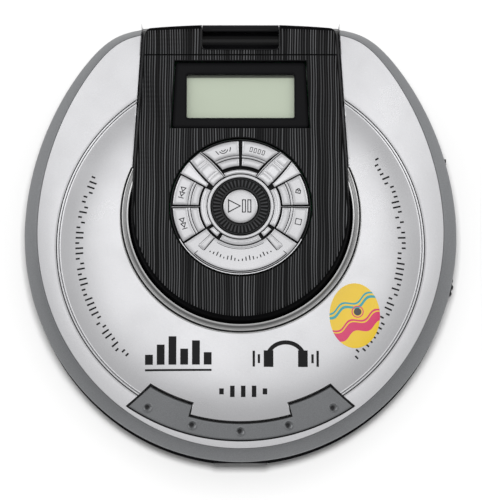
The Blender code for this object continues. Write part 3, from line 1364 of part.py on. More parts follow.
def make_wheel():
    """Silver wheel frame, its knurled ring and the keys that slide in it."""
    spot = (0.0, WHEEL_Y)
    radius = WHEEL_RADIUS
    low = WHEEL_PLATE_BOTTOM
    steps = 2 * ROUND_STEPS
    frame = upright("wheel_frame", spot, radius, low, WHEEL_TOP - GAP, SILVER, steps)
    cuts = []
    for name in KEYS:
        window = key_sector(name, BUTTON_GAP)
        cuts.append(plate(name + "_window", [window], low - OVERRUN, WHEEL_TOP + OVERRUN))
    knurl_hole = KNURL_RADIUS + GAP
    high = WHEEL_TOP + OVERRUN
    cuts.append(upright("knurl_hole", spot, knurl_hole, low - OVERRUN, high, steps=steps))
    cut(frame, *cuts)
    ring_teeth = toothed(spot, KNURL_RADIUS - TOOTH_DEPTH, KNURL_TEETH)
    hole = arc(spot, PLAY_RADIUS + BUTTON_GAP, 0.0, 350.0, 36)
    plate("knurled_ring", [ring_teeth, hole], WHEEL_PLATE_TOP - PANEL_EDGE, WHEEL_TOP, BLACK)
    for name in KEYS:
        key = plate(name, [key_sector(name, 0.0)], BUTTON_BOTTOM, WHEEL_TOP, SILVER)
        starts, ends = KEYS[name]
        turn = math.radians((sum(starts) + sum(ends)) / 4)
        middle = (BUTTON_INNER + BUTTON_OUTER) / 2
        centre = (middle * math.cos(turn), WHEEL_Y + middle * math.sin(turn), WHEEL_TOP)
        hang_on(name + "_axis", centre, (key,))
    top = WHEEL_TOP + GAP
    play = upright("play_key", spot, PLAY_RADIUS, BUTTON_BOTTOM, top, SILVER, ROUND_STEPS)
    hang_on("play_key_axis", (*spot, top), (play,))


def make_base():
    make_case()
    make_deck()
    make_hinge()
    make_chassis()
    make_dampers()
    make_spindle()
    make_sled()
    make_power()
    make_board()
    make_side_controls()
    make_opener()
    make_feet_and_screws()


make_base()
make_lid()
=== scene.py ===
import math

import bmesh
import bpy
import numpy as np
from bpy.props import FloatProperty, FloatVectorProperty, IntProperty, PointerProperty
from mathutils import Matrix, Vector


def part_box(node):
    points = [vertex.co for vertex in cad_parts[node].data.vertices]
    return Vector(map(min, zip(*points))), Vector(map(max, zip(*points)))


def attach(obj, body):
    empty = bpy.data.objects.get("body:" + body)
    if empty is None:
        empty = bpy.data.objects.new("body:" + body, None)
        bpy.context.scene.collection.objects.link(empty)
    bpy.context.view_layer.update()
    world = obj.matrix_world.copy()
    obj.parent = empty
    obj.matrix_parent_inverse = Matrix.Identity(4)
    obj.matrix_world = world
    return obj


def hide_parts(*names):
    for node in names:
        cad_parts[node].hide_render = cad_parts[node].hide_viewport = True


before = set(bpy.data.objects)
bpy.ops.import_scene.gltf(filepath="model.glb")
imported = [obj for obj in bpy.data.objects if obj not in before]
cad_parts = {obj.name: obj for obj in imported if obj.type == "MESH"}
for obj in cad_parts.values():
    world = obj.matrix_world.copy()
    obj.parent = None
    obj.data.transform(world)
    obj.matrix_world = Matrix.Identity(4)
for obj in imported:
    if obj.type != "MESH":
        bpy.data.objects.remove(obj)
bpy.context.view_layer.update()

bl_info = {
    "name": "Portable Disc Player",
    "version": (1, 0, 0),
    "blender": (4, 5, 0),
    "location": "3D View > Sidebar > Disc Player",
    "description": "Builds the outer skins, keys, display and finishes of a portable disc player",
    "category": "Add Mesh",
}

MM = 0.001

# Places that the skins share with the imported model
WHEEL = np.array((0.0, 9.0)) * MM
WHEEL_EDGE = 23.5 * MM
DISC = np.array((0.0, -2.8)) * MM
WIDEST_Y = 2.4 * MM
HALF_WIDTH = 72.5 * MM
FRONT_LENGTH = 77.7 * MM
REAR_LENGTH = 89.5 * MM
REAR_LINE = 73.0 * MM
REAR_BOW = 250.0 * MM
SEAM = 61.1 * MM
PANEL_Y = 7.0 * MM
PANEL_RADIUS = 37.15 * MM
PANEL_REAR = 72.6 * MM
PANEL_REAR_HALF = 33.2 * MM
PANEL_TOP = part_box("control_panel")[1].z
KEY_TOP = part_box("lower_key")[1].z
RIM_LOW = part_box("lid_rim")[0].z


class PlayerSizes(bpy.types.PropertyGroup):
    """Sizes of the player's visible detail."""
    rib_pitch: FloatProperty(name="Rib pitch", description="Mean spacing of the ribs on the black panel",
                             default=0.86 * MM, unit="LENGTH", precision=5)
    rib_depth: FloatProperty(name="Rib depth", description="Depth of the valleys between the ribs",
                             default=0.34 * MM, unit="LENGTH", precision=5)
    seam_depth: FloatProperty(name="Seam depth", description="Depth of the round seam in the lid",
                              default=0.45 * MM, unit="LENGTH", precision=5)
    key_bevel: FloatProperty(name="Key bevel", description="Width of the sloping edge of each key",
                             default=0.42 * MM, unit="LENGTH", precision=5)
    knurls: IntProperty(name="Knurls", description="Ridges round the play key", default=42, min=12, max=90)
    turns: IntProperty(name="Smoothness", description="Steps in a full round of the lid",
                       default=720, min=180, max=1440)


class PlayerColours(bpy.types.PropertyGroup):
    """Colours of the player's finishes."""
    silver: FloatVectorProperty(name="Silver", description="Metallic silver paint of the lid and keys",
                                subtype="COLOR", size=3, default=(0.585, 0.585, 0.60), min=0, max=1)
    grey: FloatVectorProperty(name="Grey", description="Metallic grey paint of the rim and front plate",
                              subtype="COLOR", size=3, default=(0.185, 0.19, 0.197), min=0, max=1)
    black: FloatVectorProperty(name="Black", description="Black moulded plastic",
                               subtype="COLOR", size=3, default=(0.012, 0.012, 0.0135), min=0, max=1)
    display: FloatVectorProperty(name="Display", description="Liquid crystal display, switched off",
                                 subtype="COLOR", size=3, default=(0.645, 0.69, 0.575), min=0, max=1)


class StageSettings(bpy.types.PropertyGroup):
    """Floor, light and camera."""
    top: FloatProperty(name="Top light", description="Brightness of the soft light above",
                       default=1.25, min=0)
    side: FloatProperty(name="Side lights", description="Brightness of the two soft lights behind",
                        default=1.7, min=0)
    fill: FloatProperty(name="Fill", description="Strength of the even light from the room",
                        default=0.6, min=0)
    floor: FloatProperty(name="Floor light", description="Brightness of the small light that only lights the floor",
                         default=155.0, min=0)
    tilt: FloatProperty(name="Camera tilt", description="Camera's angle from straight above",
                        default=math.radians(14.0), unit="ROTATION")


def sizes():
    return bpy.context.scene.player_sizes


def colours():
    return bpy.context.scene.player_colours


# Shader maths

class Flow:
    """A node socket in arithmetic: each operator adds one Math node."""

    def __init__(self, finish, socket):
        self.finish = finish
        self.socket = socket

    def maths(self, operation, *others, first=None):
        values = [self if first is None else first, *others]
        return self.finish.add("ShaderNodeMath", {"operation": operation}, dict(enumerate(values)))

    def __add__(self, other):
        return self.maths("ADD", other)

    __radd__ = __add__

    def __mul__(self, other):
        return self.maths("MULTIPLY", other)

    __rmul__ = __mul__

    def __sub__(self, other):
        return self.maths("SUBTRACT", other)

    def __rsub__(self, other):
        return self.maths("SUBTRACT", self, first=other)

    def __truediv__(self, other):
        return self.maths("DIVIDE", other)

    def __pow__(self, other):
        return self.maths("POWER", other)


class Finish:
    """A material under construction, with one method for any node."""

    def __init__(self, name):
        self.material = bpy.data.materials.new(name)
        self.material.use_nodes = True
        self.tree = self.material.node_tree
        self.tree.nodes.clear()

    def add(self, kind, settings=None, sockets=None, output=0):
        node = self.tree.nodes.new(kind)
        for key, value in (settings or {}).items():
            if key == "stops":
                self.set_ramp(node.color_ramp, value)
            else:
                setattr(node, key, value)
        for key, value in (sockets or {}).items():
            if isinstance(value, Flow):
                self.tree.links.new(value.socket, node.inputs[key])
            else:
                node.inputs[key].default_value = value
        return Flow(self, node.outputs[output]) if len(node.outputs) else None

    @staticmethod
    def set_ramp(ramp, stops):
        while len(ramp.elements) < len(stops):
            ramp.elements.new(0.5)
        for element, (place, value) in zip(ramp.elements, stops):
            element.position = place
            element.color = (value, value, value, 1.0) if isinstance(value, float) else (*value, 1.0)

    def place(self):
        return self.add("ShaderNodeTexCoord", output="Object")

    def stretched(self, scale):
        return self.add("ShaderNodeMapping", {}, {"Vector": self.place(), "Scale": scale})

    def noise(self, scale, detail=2.0, rough=0.5, vector=None):
        vector = vector or self.place()
        values = {"Vector": vector, "Scale": scale, "Detail": detail, "Roughness": rough}
        return self.add("ShaderNodeTexNoise", {}, values)

    def ramp(self, value, stops, output=0):
        return self.add("ShaderNodeValToRGB", {"stops": stops}, {"Fac": value}, output)

    def height(self, low, high):
        """Nought below one height of the piece and one above another."""
        return self.spread(self.add("ShaderNodeSeparateXYZ", {}, {0: self.place()}, 2), low, high, 0.0, 1.0)

    def away(self, centre):
        """Distance in plan from a centre."""
        x, y = (self.add("ShaderNodeSeparateXYZ", {}, {0: self.place()}, axis) - centre[axis] for axis in (0, 1))
        return (x * x + y * y) ** 0.5

    def spread(self, value, low, high, new_low, new_high):
        values = {"Value": value, 1: low, 2: high, 3: new_low, 4: new_high}
        return self.add("ShaderNodeMapRange", {"clamp": True}, values)

    def blend(self, factor, first, second):
        first, second = (c if isinstance(c, Flow) else (*c, 1.0) for c in (first, second))
        values = {0: factor, 6: first, 7: second}
        return self.add("ShaderNodeMix", {"data_type": "RGBA"}, values, 2)

    def bump(self, height, strength, distance, normal=None):
        values = {"Height": height, "Strength": strength, "Distance": distance}
        if normal:
            values["Normal"] = normal
        return self.add("ShaderNodeBump", {}, values)

    def done(self, **values):
        named = {key.replace("_", " ").title(): value for key, value in values.items()}
        named = {{"Specular Ior Level": "Specular IOR Level"}.get(k, k): v for k, v in named.items()}
        shader = self.add("ShaderNodeBsdfPrincipled", {}, named)
        self.add("ShaderNodeOutputMaterial", {}, {"Surface": shader})
        return self.material


def tint(colour, amount):
    """The colour times an amount, held under one."""
    return tuple(min(1.0, part * amount) for part in colour)


def silver_paint(name, rough=0.30, metal=0.86, level=1.0, groove_shade_band=None):
    """Satin metallic paint: fine flakes turn its brightness, a slow drift its gloss. Below a
    band of heights its colour turns near black: painted shade in the hollows."""
    skin = Finish(name)
    flake = skin.noise(5200.0, 2.0)
    drift = skin.noise(30.0, 3.0)
    base = tint(colours().silver, level)
    colour = skin.blend(skin.spread(flake, 0.3, 0.7, 0.0, 1.0), tint(base, 0.93), tint(base, 1.06))
    if groove_shade_band:
        # painted shade: below the band the colour darkens to near black, standing in for the shade in the hollows
        colour = skin.blend(skin.height(*groove_shade_band), (0.008, 0.008, 0.009), colour)
    wear = skin.noise(120.0, 4.0, 0.6)
    gloss = skin.spread(drift, 0.35, 0.65, rough - 0.03, rough + 0.03)
    gloss = gloss + skin.spread(wear, 0.5, 0.8, 0.0, 0.02)
    bump = skin.bump(skin.noise(1500.0, 2.0), 0.02, 0.00006)
    return skin.done(base_color=colour, metallic=metal, roughness=gloss, normal=bump,
                     coat_weight=0.03, coat_roughness=0.3)


def grey_paint(name, level=1.0, rough=0.42, groove_shade_band=None):
    """Darker metallic paint with coarser flakes. Below a band of heights its colour turns near
    black: painted shade in the hollows."""
    skin = Finish(name)
    flake = skin.noise(4200.0, 3.0, 0.6)
    base = tint(colours().grey, level)
    colour = skin.blend(skin.spread(flake, 0.35, 0.65, 0.0, 1.0), tint(base, 0.86), tint(base, 1.15))
    if groove_shade_band:
        # painted shade: below the band the colour darkens to near black, standing in for the shade in the hollows
        colour = skin.blend(skin.height(*groove_shade_band), (0.01, 0.01, 0.011), colour)
    gloss = skin.spread(skin.noise(60.0, 4.0), 0.3, 0.7, rough - 0.05, rough + 0.05)
    bump = skin.bump(skin.noise(1800.0, 2.0), 0.05, 0.00006)
    return skin.done(base_color=colour, metallic=0.55, roughness=gloss, normal=bump)


def moulded_black(name, rough=0.45, grain=0.12, scale=1900.0, level=1.0, crest_light_band=None,
                  lit=(0.16, 0.162, 0.168), shine=0.3):
    """Moulded plastic: a fine spark-eroded grain, with rubbed, shinier patches. Between two
    heights its colour turns from dark to pale: painted shade between ridges, a painted highlight on their tops."""
    skin = Finish(name)
    base = tint(colours().black, level)
    grain_height = skin.noise(scale, 3.0, 0.6)
    patch = skin.noise(70.0, 5.0, 0.65)
    colour = skin.blend(skin.spread(patch, 0.35, 0.7, 0.0, 1.0), tint(base, 0.8), tint(base, 1.35))
    if crest_light_band:
        # painted shade below the band and a painted highlight above it, set by height
        colour = skin.blend(skin.height(*crest_light_band), tint(base, 0.2), lit)
    gloss = skin.spread(patch, 0.3, 0.7, rough - 0.06, rough + 0.07)
    bump = skin.bump(grain_height, grain, 0.00012)
    return skin.done(base_color=colour, roughness=gloss, normal=bump, specular_ior_level=shine)


def gloss_black(name, level=0.6, rough=0.1, shine=0.22):
    """Polished black plastic with faint hairlines in its lacquer."""
    skin = Finish(name)
    base = tint(colours().black, level)
    hair = skin.noise(900.0, 2.0, vector=skin.stretched((1.0, 0.05, 1.0)))
    smear = skin.noise(45.0, 4.0, 0.6)
    gloss = skin.spread(smear, 0.35, 0.7, rough, rough + 0.08)
    gloss = gloss + skin.spread(hair, 0.62, 0.8, 0.0, 0.12)
    colour = skin.blend(smear, tint(base, 0.85), tint(base, 1.2))
    return skin.done(base_color=colour, roughness=gloss, specular_ior_level=shine)


def plated(name, rough, centre, stops):
    """Bright plating with soft finger smears; its rings differ in tone with the distance from a
    centre, given as stops of distance and tone: painted highlights and painted shade."""
    skin = Finish(name)
    smear = skin.noise(120.0, 4.0, 0.6)
    near, far = stops[0][0], stops[-1][0]
    # painted highlight and shade: the tone is set in rings by the distance from the centre
    share = skin.spread(skin.away(centre), near, far, 0.0, 1.0)
    rings = skin.ramp(share, [((place - near) / (far - near), level) for place, level in stops])
    colour = skin.blend(smear * 0.12, rings, (0.1, 0.1, 0.1))
    gloss = skin.spread(smear, 0.3, 0.75, rough - 0.04, rough + 0.1)
    return skin.done(base_color=colour, metallic=1.0, roughness=gloss)


def bare_steel(name, level=0.5, stretch=(1.0, 12.0, 1.0)):
    """Rolled steel: fine lines along the sheet and a light oil bloom."""
    skin = Finish(name)
    lines = skin.noise(700.0, 4.0, 0.6, skin.stretched(stretch))
    bloom = skin.noise(80.0, 4.0)
    colour = skin.blend(bloom, (level * 0.85, level * 0.86, level * 0.88), (level * 1.1,) * 3)
    gloss = skin.spread(lines, 0.3, 0.7, 0.24, 0.42)
    bump = skin.bump(lines, 0.08, 0.00005)
    return skin.done(base_color=colour, metallic=1.0, roughness=gloss, normal=bump)


def moulded_colour(name, colour, rough=0.4, grain=0.06):
    """Plain coloured plastic or rubber with a fine grain and uneven gloss."""
    skin = Finish(name)
    patch = skin.noise(110.0, 4.0, 0.6)
    shade = skin.blend(patch, tint(colour, 0.86), tint(colour, 1.12))
    gloss = skin.spread(patch, 0.3, 0.7, rough - 0.05, rough + 0.08)
    bump = skin.bump(skin.noise(1500.0, 3.0), grain, 0.0001)
    return skin.done(base_color=shade, roughness=gloss, normal=bump)


def printed_ink(name, colour, rough=0.35):
    """Screen-printed ink: a slightly uneven edge-to-edge film."""
    skin = Finish(name)
    film = skin.noise(900.0, 3.0, 0.6)
    shade = skin.blend(film, tint(colour, 0.85), tint(colour, 1.1))
    gloss = skin.spread(film, 0.3, 0.7, rough - 0.08, rough + 0.1)
    return skin.done(base_color=shade, roughness=gloss, specular_ior_level=0.12)


def circuit_green(name):
    """Solder mask over a fine net of tracks."""
    skin = Finish(name)
    tracks = skin.add("ShaderNodeTexVoronoi", {"feature": "DISTANCE_TO_EDGE"},
                      {"Vector": skin.place(), "Scale": 420.0})
    mask = skin.spread(tracks, 0.02, 0.06, 1.0, 0.0)
    colour = skin.blend(mask, (0.006, 0.11, 0.035), (0.02, 0.24, 0.08))
    return skin.done(base_color=colour, roughness=0.35, normal=skin.bump(mask, 0.2, 0.00006),
                     coat_weight=0.4, coat_roughness=0.2)


# Meshes from grids of points

def mesh_from(name, grids):
    """One mesh from grids. A grid is rows by columns of points; two flags say whether its
    rows or its columns come round to the first one. Faces look along row cross column."""
    points, quads, start = [], [], 0
    for grid, rows_close, columns_close in grids:
        rows, columns = grid.shape[:2]
        index = start + np.arange(rows * columns).reshape(rows, columns)
        if rows_close:
            index = np.vstack((index, index[:1]))
        if columns_close:
            index = np.hstack((index, index[:, :1]))
        corners = (index[:-1, :-1], index[1:, :-1], index[1:, 1:], index[:-1, 1:])
        quads.append(np.stack(corners, axis=-1).reshape(-1, 4))
        points.append(grid.reshape(-1, 3))
        start += rows * columns
    points = np.concatenate(points)
    quads = np.concatenate(quads)
    mesh = bpy.data.meshes.new(name)
    mesh.vertices.add(len(points))
    mesh.vertices.foreach_set("co", points.ravel())
    mesh.loops.add(quads.size)
    mesh.loops.foreach_set("vertex_index", quads.ravel())
    mesh.polygons.add(len(quads))
    mesh.polygons.foreach_set("loop_start", np.arange(len(quads)) * 4)
    mesh.update(calc_edges=True)
    return mesh


def finish_mesh(mesh, angle=40.0, outward=True, merge=0.000004):
    """Close seams and poles, turn closed shapes outwards and smooth all but sharp edges."""
    work = bmesh.new()
    work.from_mesh(mesh)
    bmesh.ops.remove_doubles(work, verts=work.verts, dist=merge)
    bmesh.ops.dissolve_degenerate(work, edges=work.edges, dist=merge / 2)
    if outward:
        bmesh.ops.recalc_face_normals(work, faces=work.faces)
    work.to_mesh(mesh)
    work.free()
    mesh.polygons.foreach_set("use_smooth", np.ones(len(mesh.polygons), dtype=bool))
    mesh.set_sharp_from_angle(angle=math.radians(angle))
    mesh.update()


def piece(name, grids, finish, body, nodes=(), angle=40.0, outward=True):
    """A finished piece: it rides on a body and may stand for CAD nodes."""
    mesh = mesh_from(name, grids)
    finish_mesh(mesh, angle, outward)
    mesh.materials.append(finish)
    thing = bpy.data.objects.new(name, mesh)
    bpy.context.scene.collection.objects.link(thing)
    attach(thing, body)
    if nodes:
        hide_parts(*nodes)
    return thing


def refined(node, finish, body, angle=32.0, bevel=0.0):
    """A copy of a CAD node with its loose triangles merged, its curves smooth and its edges eased."""
    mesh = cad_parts[node].data.copy()
    mesh.name = node + "_skin"
    mesh.materials.clear()
    finish_mesh(mesh, angle, merge=0.00002)
    mesh.materials.append(finish)
    thing = bpy.data.objects.new(node + "_skin", mesh)
    bpy.context.scene.collection.objects.link(thing)
    if bevel:
        ease = thing.modifiers.new("Eased edges", "BEVEL")
        ease.width = bevel
        ease.segments = 2
        ease.limit_method = "ANGLE"
        ease.angle_limit = math.radians(angle)
        ease.harden_normals = True
    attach(thing, body)
    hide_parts(node)
    return thing


def wrap(*grids):
    return [(grid, False, False) for grid in grids]


def closed_ends(grid):
    """Draw the first and last row together to a point, so a swept tube has ends."""
    first = np.repeat(grid[:1].mean(axis=1, keepdims=True), grid.shape[1], axis=1)
    last = np.repeat(grid[-1:].mean(axis=1, keepdims=True), grid.shape[1], axis=1)
    return np.concatenate((first, grid, last))


def lathe(profile, centre, steps=96):
    """Surface of revolution: each profile point (radius, height) goes round the centre."""
    profile = np.asarray(profile)
    turn = np.linspace(0.0, 2.0 * np.pi, steps, endpoint=False)
    x = centre[0] + profile[:, 0] * np.cos(turn)[:, None]
    y = centre[1] + profile[:, 0] * np.sin(turn)[:, None]
    return np.stack((x, y, np.broadcast_to(profile[:, 1], x.shape)), axis=-1)


def soft_step(value, low, high):
    share = np.clip((value - low) / (high - low), 0.0, 1.0)
    return share * share * (3.0 - 2.0 * share)


# Plan curves of the lid, as a distance from the disc's axis in each direction.
# A direction is an angle from the rear, clockwise seen from above.

def direction(turn, reach):
    return np.stack((DISC[0] + reach * np.sin(turn), DISC[1] + reach * np.cos(turn)), axis=-1)


def lid_reach(turn, side=0.0, front=None, rear=None):
    """The lid's outline drawn in by insets: half an ellipse in front; behind, a high-order
    mean of a fuller curve and the bowed rear edge. Read off by angle from dense points."""
    front = side if front is None else front
    rear = side if rear is None else rear
    angle = np.linspace(-np.pi, np.pi, 2881)
    across, along = np.sin(angle), np.cos(angle)
    width = HALF_WIDTH - side
    fore = np.hypot(across / width, along / (FRONT_LENGTH - front))
    flank = (np.abs(across) / width) ** 1.9 + (np.abs(along) / (REAR_LENGTH - rear)) ** 1.9
    flank = flank ** (1.0 / 1.9)
    edge = np.hypot(across / REAR_BOW, along / (REAR_LINE - rear))
    scale = flank.max()
    aft = scale * ((flank / scale) ** 26.0 + (edge / scale) ** 26.0) ** (1.0 / 26.0)
    length = 1.0 / np.where(along < 0.0, fore, aft)
    x, y = length * across, WIDEST_Y + length * along - DISC[1]
    order = np.argsort(np.arctan2(x, y))
    turns = np.arctan2(x, y)[order]
    return np.interp(np.mod(turn + np.pi, 2.0 * np.pi) - np.pi, turns, np.hypot(x, y)[order])


PANEL_LEAN = math.atan2(PANEL_RADIUS - PANEL_REAR_HALF, PANEL_REAR - PANEL_Y)


def panel_half(y, inset=0.0):
    """Half width of the black panel at a distance back, behind its round front."""
    start = PANEL_Y + PANEL_RADIUS * math.sin(PANEL_LEAN)
    wide = PANEL_RADIUS * math.cos(PANEL_LEAN)
    return wide - inset - (y - start) * math.tan(PANEL_LEAN)


def panel_reach(turn, clear):
    """Distance to the panel's straight sides, and none where its round front begins."""
    slope = math.tan(PANEL_LEAN)
    start = panel_half(DISC[1]) + clear
    with np.errstate(divide="ignore", invalid="ignore"):
        reach = start / (np.abs(np.sin(turn)) + slope * np.cos(turn))
    return np.where((np.cos(turn) > 0.12) & (reach > 0.0), reach, 0.0)


def collar_reach(turn, radius):
    """Distance to a circle about the panel's round end."""
    shift = PANEL_Y - DISC[1]
    return shift * np.cos(turn) + np.sqrt(radius ** 2 - (shift * np.sin(turn)) ** 2)


def lid_turns(extra=()):
    """Directions from the panel's right side round the front to its left side."""
    tries = np.linspace(0.2, 1.0, 4001)
    gap = panel_reach(tries, 0.1 * MM) - lid_reach(tries)
    first = tries[np.argmax(gap < 0.0)]
    plain = np.linspace(first, 2.0 * np.pi - first, sizes().turns)
    return np.unique(np.concatenate((plain, extra)))


OUTER_TOP = 24.8 * MM
OUTER_EDGE = 24.3 * MM
RIM_RUN = (4.5 * MM, 3.5 * MM, 3.3 * MM)


def dome(radius):
    """Height of the silver dome: its peak less a fall that grows with a power of the radius."""
    return OUTER_TOP + 2.3 * MM * (1.0 - np.clip(radius / SEAM, 0.0, 1.0) ** 6.5)


# The grey front plate: its radii about the disc's axis and its angles from the front
PLATE_OUTER = 66.4 * MM
PLATE_INNER = 60.3 * MM
PLATE_SHOULDER = 56.3 * MM
PLATE_END = math.radians(34.5)
PLATE_STEP = math.radians(16.3)
PLATE_CLEAR = 0.3 * MM
POCKET_FLOOR = 23.85 * MM
POCKET_SHADE = 23.98 * MM


def plate_turn(swing, radius):
    """Angles near the plate's ends close up towards the disc's axis, so its ends slant."""
    inward = np.clip((PLATE_OUTER - radius) / (PLATE_OUTER - PLATE_SHOULDER), 0.0, 1.4)
    near = soft_step(np.abs(swing), 0.42, 0.57) * (1.0 - soft_step(np.abs(swing), 0.7, 1.0))
    return swing * (1.0 - 0.071 * inward * near)


def make_lid_skin():
    """Silver skin: a polar grid about the disc's axis, whose height is the dome, the round
    seam, the outer zone and the pocket of the front plate; a coarse underside closes it."""
    hair = 0.05 * MM
    lines = []
    for angle, clear in ((PLATE_END, PLATE_CLEAR), (PLATE_STEP, -PLATE_CLEAR)):
        for edge in (clear - hair, clear + hair):
            turn = angle + edge / PLATE_OUTER
            lines += [np.pi - turn, np.pi + turn]
    turn = lid_turns(lines)[:, None]
    swing = turn - np.pi
    limit = np.maximum(panel_reach(turn, 0.1 * MM), collar_reach(turn, 40.1 * MM))
    outer = lid_reach(turn, *[run + 0.12 * MM for run in RIM_RUN])
    pocket_lines = []
    for radius, clear in ((PLATE_SHOULDER, -1), (PLATE_INNER, -1), (PLATE_OUTER, 1)):
        middle = radius + clear * PLATE_CLEAR
        pocket_lines += [middle - hair, middle + hair]
    seam = np.array((-0.95, -0.75, -0.6, -0.52, -0.32, -0.24, 0.0, 0.24, 0.32, 0.52, 0.6, 0.8, 1.0)) * MM
    depth = np.array((0.0, -0.16, -0.1, 0.85, 0.85, -0.1, -0.3, -0.1, 0.85, 0.85, -0.1, -0.06, 0.0))
    inner = np.concatenate((np.arange(30.0, 60.0, 0.62) * MM, pocket_lines[:4], SEAM + seam))
    inner = np.sort(inner)
    inner = np.broadcast_to(inner, (len(turn), len(inner)))
    share = np.linspace(0.0, 1.0, 22)[1:]
    start = SEAM + 1.0 * MM
    beyond = start + share * (outer - start)
    beyond = np.sort(np.concatenate((beyond, np.broadcast_to(pocket_lines[4:], (len(turn), 2))), axis=1))
    radius = np.concatenate((inner, beyond), axis=1)
    flat = np.clip((radius - SEAM) / (outer - SEAM), 0.0, 1.0)
    height = np.where(radius < SEAM, dome(radius), OUTER_TOP - (OUTER_TOP - OUTER_EDGE) * flat ** 1.4)
    height = height - sizes().seam_depth * np.interp(radius, SEAM + seam, depth)
    reach = PLATE_OUTER + PLATE_CLEAR
    near = np.where(np.abs(swing) < PLATE_STEP - PLATE_CLEAR / PLATE_OUTER, PLATE_INNER, PLATE_SHOULDER)
    held = (np.abs(swing) < PLATE_END + PLATE_CLEAR / PLATE_OUTER) & (radius < reach)
    held = held & (radius > near - PLATE_CLEAR)
    height = np.where(held, POCKET_FLOOR, height)
    kept = np.minimum(np.maximum(radius, limit), np.maximum(outer, limit))
    sunk = 1.2 * np.clip(limit - outer, 0.0, None)
    height = height - sunk
    kept_turn = np.pi + plate_turn(swing, kept)
    top = np.concatenate((direction(kept_turn, kept), height[..., None]), axis=-1)
    edge = [(0.1 * MM, 0.1 * MM), (0.14 * MM, 0.3 * MM), (0.14 * MM, 0.7 * MM), (-0.5 * MM, 1.5 * MM)]
    rings = []
    for out, down in edge:
        spot = direction(turn, np.maximum(outer, limit) + out)
        low = np.maximum(OUTER_EDGE - down - sunk, RIM_LOW + 0.2 * MM)
        rings.append(np.concatenate((spot, low[..., None]), axis=-1))
    for radius, low in ((SEAM + 1.5 * MM, 23.55 * MM), (SEAM - 2.0 * MM, 23.45 * MM), (30.0 * MM, 25.3 * MM)):
        spot = direction(turn, np.maximum(radius, limit))
        base = np.maximum(np.minimum(low, dome(np.maximum(radius, limit)) - 1.0 * MM) - sunk, RIM_LOW + 0.1 * MM)
        rings.append(np.concatenate((spot, base[..., None]), axis=-1))
    rings = np.concatenate(rings, axis=1)
    grid = np.concatenate((top, rings), axis=1)
    paint = silver_paint("Silver paint")
    return piece("silver_lid_skin", [(grid, False, True)], paint, "lid", ["lid_shell"], 28.0)


def make_lid_rim():
    """Grey rim: rings of the lid's outline whose inset shrinks as the height falls, with a
    rolled edge, a flat underside and an inner wall."""
    turn = lid_turns()
    limit = panel_reach(turn, 0.1 * MM)
    fall = OUTER_EDGE - 19.35 * MM
    section = [(1.0, OUTER_EDGE - 0.62 * MM), (0.985, OUTER_EDGE - 0.24 * MM), (0.95, OUTER_EDGE - 0.13 * MM)]
    for share in np.linspace(0.08, 0.92, 13):
        section.append((1.0 - share, OUTER_EDGE - 0.1 * MM - fall * share ** 1.22))
    section += [(0.03, 19.35 * MM), (0.0, 19.1 * MM), (0.0, 18.6 * MM), (0.02, 18.42 * MM), (0.07, RIM_LOW)]
    section += [(0.42, RIM_LOW), (0.45, 19.0 * MM), (0.9, 22.6 * MM), (1.1, 22.7 * MM)]
    rings = []
    for share, height in section:
        free = lid_reach(turn, *[share * run for run in RIM_RUN])
        spot = direction(turn, np.maximum(free, limit))
        rings.append(np.column_stack((spot, np.maximum(height - 1.2 * np.clip(limit - free, 0.0, None), RIM_LOW))))
    grid = np.stack(rings, axis=1)
    paint = grey_paint("Grey paint")
    return piece("grey_lid_rim", [(grid, False, True)], paint, "lid", ["lid_rim"], 35.0)


